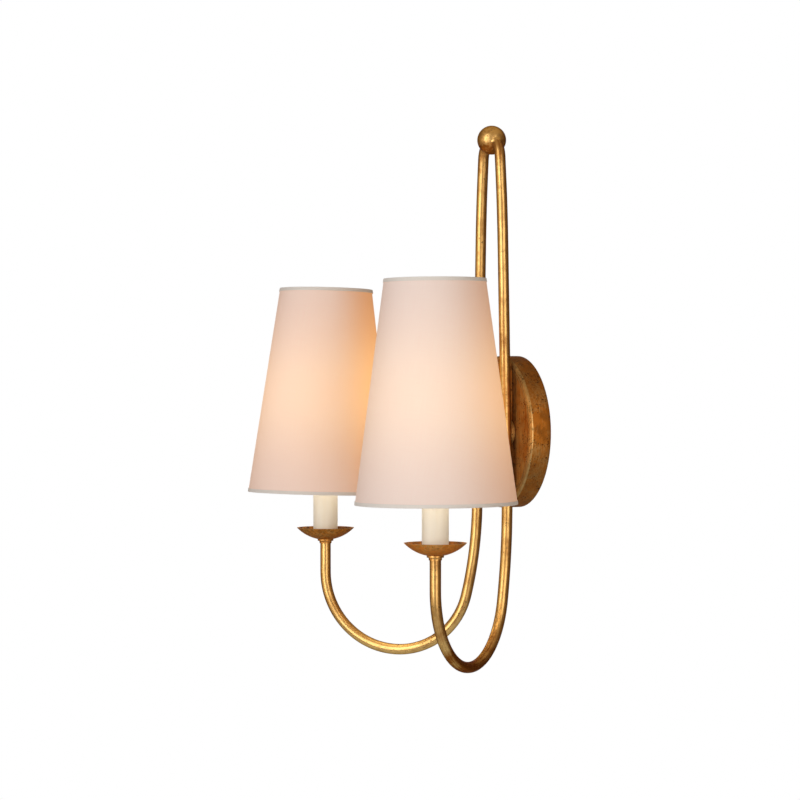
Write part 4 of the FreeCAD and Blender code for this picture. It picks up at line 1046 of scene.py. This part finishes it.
def plate_rub_and_highlight(g, place):
    """Painted highlight and rubbed edge on the double bead: the plate's front edge, less its groove,
    weaker far up and down.
    """
    foot = PLATE_RADIUS - BEAD_WIDTH
    edge = g.span(axle_distance(g, place), foot - 0.4 * MM, foot + 0.4 * MM)
    uneven = g.span(g.noise(place, 160.0, 3.0, 0.6), 0.3, 0.6, 0.85, 1.15)
    worn = g.times(uneven, g.span(g.size(g.axis(place, "Z")), 30 * MM, 64 * MM, 1.0, 0.5))
    bead = g.times(front_mask(g, place, 2.5 * MM, 1.5 * MM), edge, worn)
    return g.minus(bead, groove_mask(g, place, 1.1 * MM), clamp=True)


def plate_grime_and_shade(g, place):
    """Painted shade at the side's top and bottom, painted shadow of the legs on the face, a darker wall
    edge, groove and face, grime patches and dark pits.
    """
    flat = plate_face(g, place)
    # Painted shade at the top and bottom of the plate's side.
    height = g.size(g.minus(g.axis(place, "Z"), 6 * MM))
    ends = g.times(g.span(height, 8 * MM, 44 * MM, 0.0, 0.55), g.span(flat, 0.0, 1.0, 1.0, 0.35))
    wall = g.span(g.axis(place, "Y"), -6 * MM, -0.5 * MM, 0.0, 0.55)
    groove = g.times(groove_mask(g, place, 0.9 * MM), 0.8)
    # Painted shadow of the legs on the face beside them.
    from_leg = g.size(g.minus(g.size(g.axis(place, "X")), LEG_REACH))
    behind = g.times(g.span(from_leg, 3.5 * MM, 6.5 * MM, 0.85, 0.0),
                     front_mask(g, place, 2.0 * MM, 1.2 * MM))
    patches = g.span(g.noise(place, 130.0, 3.0, 0.6), 0.45, 0.62, 0.0, 0.38)
    dark = g.most(ends, wall, groove, behind, patches, g.times(flat, 0.28))
    clusters = g.times(g.span(g.noise(place, 640.0, 2.0, 0.6), 0.57, 0.64),
                       g.span(g.noise(place, 75.0, 2.0), 0.50, 0.60, 0.0, 0.9))
    return g.plus(dark, clusters, clamp=True)


class SCONCE_OT_backplate(bpy.types.Operator):
    """Backplate, bridge bar and dome nut"""
    bl_idname = "sconce.backplate"
    bl_label = "Backplate"

    def execute(self, context):
        gilt = gilt_material("gilded plate", plate_glaze, object_place, (900.0, 900.0, 60.0),
                             plate_rub_and_highlight, plate_grime_and_shade, dull=0.12, under="umber")
        put(plate_surface("spun_backplate"), "wall_frame", "gilded_iron", gilt, "backplate")
        bar = gilt_material("gilded bar", 0.0, object_place, (80.0, 900.0, 900.0), dull=0.25)
        coat(bar, "bridge_bar", "dome_nut")
        return {"FINISHED"}


# ---------------------------------------------------------------- gilt iron: cups, and the candles
# Each cup's glaze, how much of it there is, and how much grime. The cups differ only as painted light:
# the right-hand one paler and redder, the left-hand one darker, as painted shade.
CUP_FINISH_AND_LIGHT = {"right": ("lit_russet", 0.92, 0.28), "left": ("umber", 1.0, 0.50)}


def cup_rim_highlight(g, place):
    """Painted highlight on the rim: a band of the height at the cup's edge."""
    rim = g.effect("Band", {"Value": g.axis(place, "Z"), "Centre": CUP_RIM, "Width": 0.6 * MM})["Mask"]
    return g.times(rim, g.span(g.noise(place, 240.0, 3.0, 0.6), 0.3, 0.6, 0.1, 0.4))


def cup_grime_and_shade(grime_and_shade):
    """Darker, duller inside of a cup, and grime patches all over it, more on the left-hand cup as painted
    shade.
    """
    def soot(g, place):
        patches = g.span(g.noise(place, 330.0, 3.0, 0.6), 0.42, 0.62, 0.1 * grime_and_shade, grime_and_shade)
        below_rim = g.span(g.axis(place, "Z"), CUP_RIM - 0.4 * MM, CUP_RIM, 1.0, 0.8)
        return g.most(g.times(g.span(g.facing("Z"), 0.05, 0.25), below_rim), patches)
    return soot


class SCONCE_OT_cups(bpy.types.Operator):
    """Drip cups and the collars under them"""
    bl_idname = "sconce.cups"
    bl_label = "Drip cups"

    def execute(self, context):
        for side, (under, glaze, grime_and_shade) in CUP_FINISH_AND_LIGHT.items():
            cup = gilt_material(side + " gilded cup", glaze, object_place, (500.0, 500.0, 300.0),
                                cup_rim_highlight, cup_grime_and_shade(grime_and_shade), dull=0.06, under=under)
            coat(cup, side + "_drip_cup")
        collar = gilt_material("gilded collar", 0.55, object_place, (500.0, 500.0, 900.0), under="umber")
        coat(collar, *both("arm_collar"))
        return {"FINISHED"}


class SCONCE_OT_candles(bpy.types.Operator):
    """Ivory candle sleeves"""
    bl_idname = "sconce.candles"
    bl_label = "Candle sleeves"

    def execute(self, context):
        coat(candle_material(), *both("candle_sleeve"))
        return {"FINISHED"}


# ---------------------------------------------------------------- shades
def shade_frame(side):
    """Centre of a shade's bottom ring, and the shade's own axes as rows: across, wallward and up."""
    low = box_centre(side + "_shade_bottom_ring")
    up = (box_centre(side + "_shade_top_ring") - low).normalized()
    across = Vector((1, 0, 0))
    return np.array(low), np.array([across, up.cross(across), up])


def cone_radius(height):
    """Outer radius of the cloth at a height over the bottom ring, on the line through both rings."""
    return CLOTH_BOTTOM + (CLOTH_TOP - CLOTH_BOTTOM) * height / RING_SPAN


def flat_cut():
    """The cloth's cut as a ring sector: inner and outer radius, angle, width, length and area."""
    low, high = cone_radius(-CLOTH_PAST_RING), cone_radius(RING_SPAN + CLOTH_PAST_RING)
    slant = math.hypot(low - high, RING_SPAN + 2 * CLOTH_PAST_RING)
    outer = low * slant / (low - high)
    inner = high * slant / (low - high)
    angle = 2 * math.pi * low / outer
    width = 2 * outer * math.sin(angle / 2)
    length = outer - inner * math.cos(angle / 2)
    return inner, outer, angle, width, length, angle / 2 * (outer ** 2 - inner ** 2)


def cover_surface(name, side, settings):
    """Cloth cone that laps over itself at the back, with the backing as its second material slot.

    The sheet turns from a to a + 2 pi + lap. Its outer face is the cone's radius less one ply under
    the lap, and rises smoothly to the whole radius in the first quarter turn. The inner face lies
    one ply inside. The UV is the flat cut in metres, so the threads run as they do in a cut cloth.
    """
    inner, outer, angle, *_ = flat_cut()
    origin, axes = shade_frame(side)
    rows, columns = 25, 181
    height = np.linspace(-CLOTH_PAST_RING, RING_SPAN + CLOTH_PAST_RING, rows)[:, None]
    radius = cone_radius(height)
    lap = settings.lap / radius.mean()
    turn = np.linspace(0, 2 * math.pi + lap, columns)[None, :]
    rise = np.clip(turn / (math.pi / 2), 0, 1)
    under = (1 - rise * rise * (3 - 2 * rise)) * (settings.ply + 0.03 * MM)
    outside = radius - under
    inside = outside - settings.ply
    around = math.pi / 2 + turn - lap / 2

    def place(r):
        """Points of the cone at those radii, mirrored on the left-hand side."""
        return origin + round_axis(r, around, height) * (SIDES[side], 1, 1) @ axes

    grid = np.concatenate([place(outside), place(inside)[::-1]]).transpose(1, 0, 2)
    share = (height - height[0]) / (height[-1] - height[0])
    fan = (turn - math.pi) * angle / (2 * math.pi)
    reach = outer + (inner - outer) * share
    cut = np.stack([reach * np.sin(fan), -reach * np.cos(fan)], axis=-1)
    cloth = np.concatenate([cut, cut[::-1]]).transpose(1, 0, 2)
    cloth = np.concatenate([cloth, cloth[:, :1]], axis=1)
    grid = capped(grid[0].mean(axis=0), grid, grid[-1].mean(axis=0))
    cloth = capped(cloth[0], cloth, cloth[-1])
    backed = (np.arange(2 * rows) >= rows - 1).astype(np.int32)
    return lay_grid(name, grid, cloth, slots=backed)


def binding_surface(name, side, bottom):
    """Binding tape round an end of the shade: a thin band outside, folded over and tucked inside."""
    edge = -BINDING_PAST_RING if bottom else RING_SPAN + BINDING_PAST_RING
    fold = 1 if bottom else -1
    far = edge + fold * BINDING_HEIGHT
    inner_face = edge + fold * TAPE_THICKNESS
    at_edge, at_far = cone_radius(edge) + BINDING_PROUD, cone_radius(far) + BINDING_PROUD
    drawn_in = at_edge - 0.05 * MM
    outline = rounded(
        (drawn_in, edge, 0.40 * MM),
        (at_far, far, 0.12 * MM),
        (at_far - TAPE_THICKNESS, far, 0.12 * MM),
        (drawn_in - TAPE_THICKNESS, inner_face, 0.10 * MM),
        (at_edge - BINDING_TUCK, inner_face, 0.10 * MM),
        (at_edge - BINDING_TUCK, edge, 0.10 * MM))
    origin, axes = shade_frame(side)
    return lathe(name, outline, origin, axes, steps=180)


class SCONCE_OT_shades(bpy.types.Operator):
    """Lit linen shades with their binding tape"""
    bl_idname = "sconce.shades"
    bl_label = "Linen shades"

    def execute(self, context):
        settings = context.scene.sconce_shade
        tape = tape_material()
        for side in SIDES:
            lamp = box_centre(side + "_bulb_filaments") - Vector((0, 0, settings.glow_drop))
            cover = cover_surface(side + "_linen_cover", side, settings)
            put(cover, side + "_shade", "linen", linen_material(side, lamp), side + "_shade_cover")
            cover.data.materials.append(backing_material(side, lamp))
            for end in ("bottom", "top"):
                binding = binding_surface(side + "_" + end + "_binding", side, end == "bottom")
                put(binding, side + "_shade", "trim_tape", tape, side + "_shade_" + end + "_trim")
        return {"FINISHED"}


class SCONCE_OT_shade_wires(bpy.types.Operator):
    """Wire rings, spokes and bulb clips"""
    bl_idname = "sconce.shade_wires"
    bl_label = "Shade wires"

    def execute(self, context):
        coat(plain_material("coated wire"),
             *both("shade_top_ring", "shade_bottom_ring", "shade_spider", "bulb_clip"))
        return {"FINISHED"}


# ---------------------------------------------------------------- bulbs and lampholders
def helix_rod(name, centre, low, high, root, crest, pitch):
    """Threaded rod about the vertical: r = root + (crest - root) w, where w is the ridge profile.

    The profile is (1 + cos(2 pi h / pitch - a)) / 2 at a height h over the rod's foot, and fades to
    nothing within half a turn of both ends.
    """
    steps, rows_per_turn = 48, 10
    count = max(8, int((high - low) / pitch * rows_per_turn))
    height = np.linspace(low, high, count)[:, None]
    angle = turn_angles(steps)
    ridge = (1 + np.cos(2 * math.pi * (height - low) / pitch - angle)) / 2
    fade = np.clip((height - low) / (0.5 * pitch), 0, 1) * np.clip((high - height) / (0.5 * pitch), 0, 1)
    radius = root + (crest - root) * ridge * fade
    wall = round_axis(radius, angle, height) + (centre[0], centre[1], 0)
    wall = capped((centre[0], centre[1], low), wall, (centre[0], centre[1], high))
    run = capped(low, height[:, 0], high)
    return lay_grid(name, wall, even_uv(run, crest, steps), sharp=math.radians(60))


class SCONCE_OT_bulbs(bpy.types.Operator):
    """Clear candle bulbs with lit rods and rolled screw bases"""
    bl_idname = "sconce.bulbs"
    bl_label = "Candle bulbs"

    def execute(self, context):
        settings = context.scene.sconce_bulb
        nickel = plain_material("nickel shell")
        for side in SIDES:
            node = side + "_bulb_base"
            low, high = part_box(node)
            crest = half_width(node)
            base = helix_rod(side + "_screw_base", box_centre(node), low.z, high.z,
                             crest - settings.thread_depth, crest, settings.thread_pitch)
            put(base, side + "_bulb", "nickel_shell", nickel, node)
        coat(glass_material("bulb glass", (1.0, 0.985, 0.95), 0.01), *both("bulb_glass"))
        coat(glass_material("stem glass", (0.93, 0.96, 0.95), 0.08), *both("bulb_stem"))
        coat(plain_material("black glass"), *both("bulb_insulator"))
        coat(plain_material("solder"), *both("bulb_tip"))
        coat(filament_material(), *both("bulb_filaments"))
        return {"FINISHED"}


class SCONCE_OT_lampholders(bpy.types.Operator):
    """Lampholders inside the candle sleeves, with their brackets and nuts"""
    bl_idname = "sconce.lampholders"
    bl_label = "Lampholders"

    def execute(self, context):
        coat(plain_material("phenolic"), *both("socket_body"))
        coat(plain_material("pressed brass"), *both("socket_shell", "socket_contact"))
        coat(brushed_material("bracket steel"), *both("socket_stem", "cup_nut", "arm_nipple"))
        return {"FINISHED"}


# ---------------------------------------------------------------- wall fixing and wiring
class SCONCE_OT_fixing(bpy.types.Operator):
    """Crossbar, nipple, locknut and earth screw behind the plate"""
    bl_idname = "sconce.fixing"
    bl_label = "Wall fixing"

    def execute(self, context):
        coat(brushed_material("rolled steel"), "wall_crossbar", "crossbar_locknut")
        coat(brushed_material("nipple steel"), "centre_nipple")
        coat(plain_material("green earth screw"), "earth_screw")
        return {"FINISHED"}


class SCONCE_OT_wiring(bpy.types.Operator):
    """Leads, conductors, wire nuts and the bare earth wire"""
    bl_idname = "sconce.wiring"
    bl_label = "Wiring"

    def execute(self, context):
        coat(plain_material("white jacket"), *both("arm_lead"))
        coat(plain_material("black insulation"), "line_conductors")
        coat(plain_material("white insulation"), "neutral_conductors")
        coat(plain_material("orange wire nut"), "wire_nuts")
        coat(plain_material("bare copper"), "earth_wire")
        return {"FINISHED"}


# ---------------------------------------------------------------- studio
def turned_from(settings, turn):
    """Level direction from the sconce: the camera's own direction, turned to the camera's right."""
    angle = settings.azimuth + turn
    return Vector((math.sin(angle), -math.cos(angle), 0))


def studio_world(settings):
    """White for the camera and through glass, a soft ambient for matt surfaces, and a studio to reflect.

    The studio is dark with a paler ceiling, a warm side, and the white backdrop behind the sconce.
    """
    world = bpy.data.worlds.new("studio")
    g = open_graph(world)
    path = g.add("LightPath").outputs
    towards = g.add("TexCoord").outputs["Generated"]

    def panel(turn, rim, heart):
        """Mask round a level direction: 0 from the rim's angle, 1 within the heart's, in degrees."""
        nearness = g.vector_math("DOT_PRODUCT", towards, turned_from(settings, turn))["Value"]
        return g.span(nearness, math.cos(math.radians(rim)), math.cos(math.radians(heart)))

    colour = g.blend(g.span(g.axis(towards, "Z"), 0.25, 0.95), opaque(settings.studio_dark),
                     opaque(settings.studio_ceiling))
    colour = g.blend(panel(settings.studio_turn, rim=32, heart=10), colour, opaque(settings.studio_left))
    colour = g.blend(panel(math.pi, rim=38, heart=24), colour, WHITE)
    colour = g.blend(path["Is Glossy Ray"], opaque([settings.ambient] * 3), colour)
    colour = g.blend(g.most(path["Is Camera Ray"], path["Is Transmission Ray"]), colour, WHITE)
    background = g.add("Background", {"Color": colour, "Strength": 1.0}).outputs[0]
    g.add("OutputWorld", {"Surface": background})
    bpy.context.scene.world = world


def floor_material(settings):
    """Pale floor that takes the lamps' light and shadows, and melts into the white at its rim."""
    material, g = open_material("floor")
    distance = g.length(g.add("TexCoord").outputs["Object"], (1, 1, 0))
    rim = g.span(distance, 0.25 * settings.floor_radius, 0.95 * settings.floor_radius)
    path = g.add("LightPath").outputs
    white = g.times(g.span(rim, 0.0, 1.0, 0.35, 1.0, smooth=False), path["Is Camera Ray"])
    white = g.most(white, g.times(path["Is Glossy Ray"], 0.22))
    matt = g.add("BsdfDiffuse", {"Color": opaque(settings.floor_colour)}).outputs[0]
    glow = g.add("Emission", {"Color": WHITE, "Strength": 1.0}).outputs[0]
    g.add("OutputMaterial", {"Surface": g.add("MixShader", {0: white, 1: matt, 2: glow}).outputs[0]})
    return material


def make_floor(settings):
    """Round floor: rings (r cos a, r sin a) at a fixed level, from the middle outwards."""
    rings, steps = 9, 96
    radius = np.linspace(0, settings.floor_radius, rings)
    points = round_axis(radius[:, None], turn_angles(steps), -settings.floor_drop)
    floor = lay_grid("floor", points, even_uv(radius, settings.floor_radius, steps))
    floor.data.materials.append(floor_material(settings))


def soft_light(name, settings, turn, rise, power, size, colour=(1, 1, 1)):
    """Large rectangular lamp that faces the sconce from a direction and a height angle in degrees."""
    data = bpy.data.lights.new(name, "AREA")
    data.energy = power
    data.color = colour
    data.shape = "RECTANGLE"
    data.size, data.size_y = size
    lamp = new_object(name, data)
    rise = math.radians(rise)
    towards = turned_from(settings, turn) * math.cos(rise) + Vector((0, 0, math.sin(rise)))
    lamp.location = Vector((0, CANDLE.y / 2, 0)) + towards * settings.lamp_distance
    lamp.rotation_euler = towards.to_track_quat("Z", "Y").to_euler()


def make_camera(settings):
    """Camera on the line of sight: aim point - forward x distance, with its own right and up."""
    a, e = settings.azimuth, settings.pitch
    forward = Vector((-math.sin(a) * math.cos(e), math.cos(a) * math.cos(e), -math.sin(e)))
    right = Vector((math.cos(a), math.sin(a), 0))
    up = right.cross(forward)
    aim = right * settings.aim_across + Vector((0, 0, settings.aim_height))
    turn = Matrix((right, up, -forward)).transposed() @ Matrix.Rotation(settings.roll, 3, "Z")
    data = bpy.data.cameras.new("camera")
    data.sensor_width = 36.0
    data.lens = settings.lens
    camera = new_object("camera", data)
    camera.matrix_world = Matrix.Translation(aim - forward * settings.distance) @ turn.to_4x4()
    bpy.context.scene.camera = camera


class SCONCE_OT_stage(bpy.types.Operator):
    """Floor, soft studio lights, white background and camera"""
    bl_idname = "sconce.stage"
    bl_label = "Studio"

    def execute(self, context):
        settings = context.scene.sconce_stage
        make_floor(settings)
        studio_world(settings)
        soft_light("key", settings, settings.key_turn, rise=13, power=settings.key_power,
                   size=(1.8, 2.75))
        soft_light("fill", settings, settings.fill_turn, rise=5, power=settings.fill_power,
                   size=(1.5, 2.6), colour=settings.fill_colour)
        make_camera(settings)
        context.scene.view_settings.view_transform = "Standard"
        return {"FINISHED"}


# ---------------------------------------------------------------- panel and registration
OPERATORS = (
    SCONCE_OT_arms, SCONCE_OT_backplate, SCONCE_OT_cups, SCONCE_OT_candles, SCONCE_OT_shades,
    SCONCE_OT_shade_wires, SCONCE_OT_bulbs, SCONCE_OT_lampholders, SCONCE_OT_fixing,
    SCONCE_OT_wiring, SCONCE_OT_stage,
)


class SCONCE_PT_panel(bpy.types.Panel):
    """Settings and steps of the sconce"""
    bl_idname = "SCONCE_PT_panel"
    bl_label = "Wall sconce"
    bl_space_type = "VIEW_3D"
    bl_region_type = "UI"
    bl_category = "Sconce"

    def draw(self, context):
        for name, kind in SETTINGS.items():
            column = self.layout.column()
            for field in kind.__annotations__:
                column.prop(getattr(context.scene, name), field)
        for operator in OPERATORS:
            self.layout.operator(operator.bl_idname)


def register():
    """Register the classes and give the scene its settings."""
    for kind in (*SETTINGS.values(), *OPERATORS, SCONCE_PT_panel):
        bpy.utils.register_class(kind)
    for name, kind in SETTINGS.items():
        setattr(bpy.types.Scene, name, bpy.props.PointerProperty(type=kind))


def unregister():
    """Take back what register did."""
    for name in SETTINGS:
        delattr(bpy.types.Scene, name)
    for kind in reversed((*SETTINGS.values(), *OPERATORS, SCONCE_PT_panel)):
        bpy.utils.unregister_class(kind)


def main():
    """Run every step in order."""
    register()
    for operator in OPERATORS:
        family, step = operator.bl_idname.split(".")
        getattr(getattr(bpy.ops, family), step)()


if __name__ == "__main__":
    main()
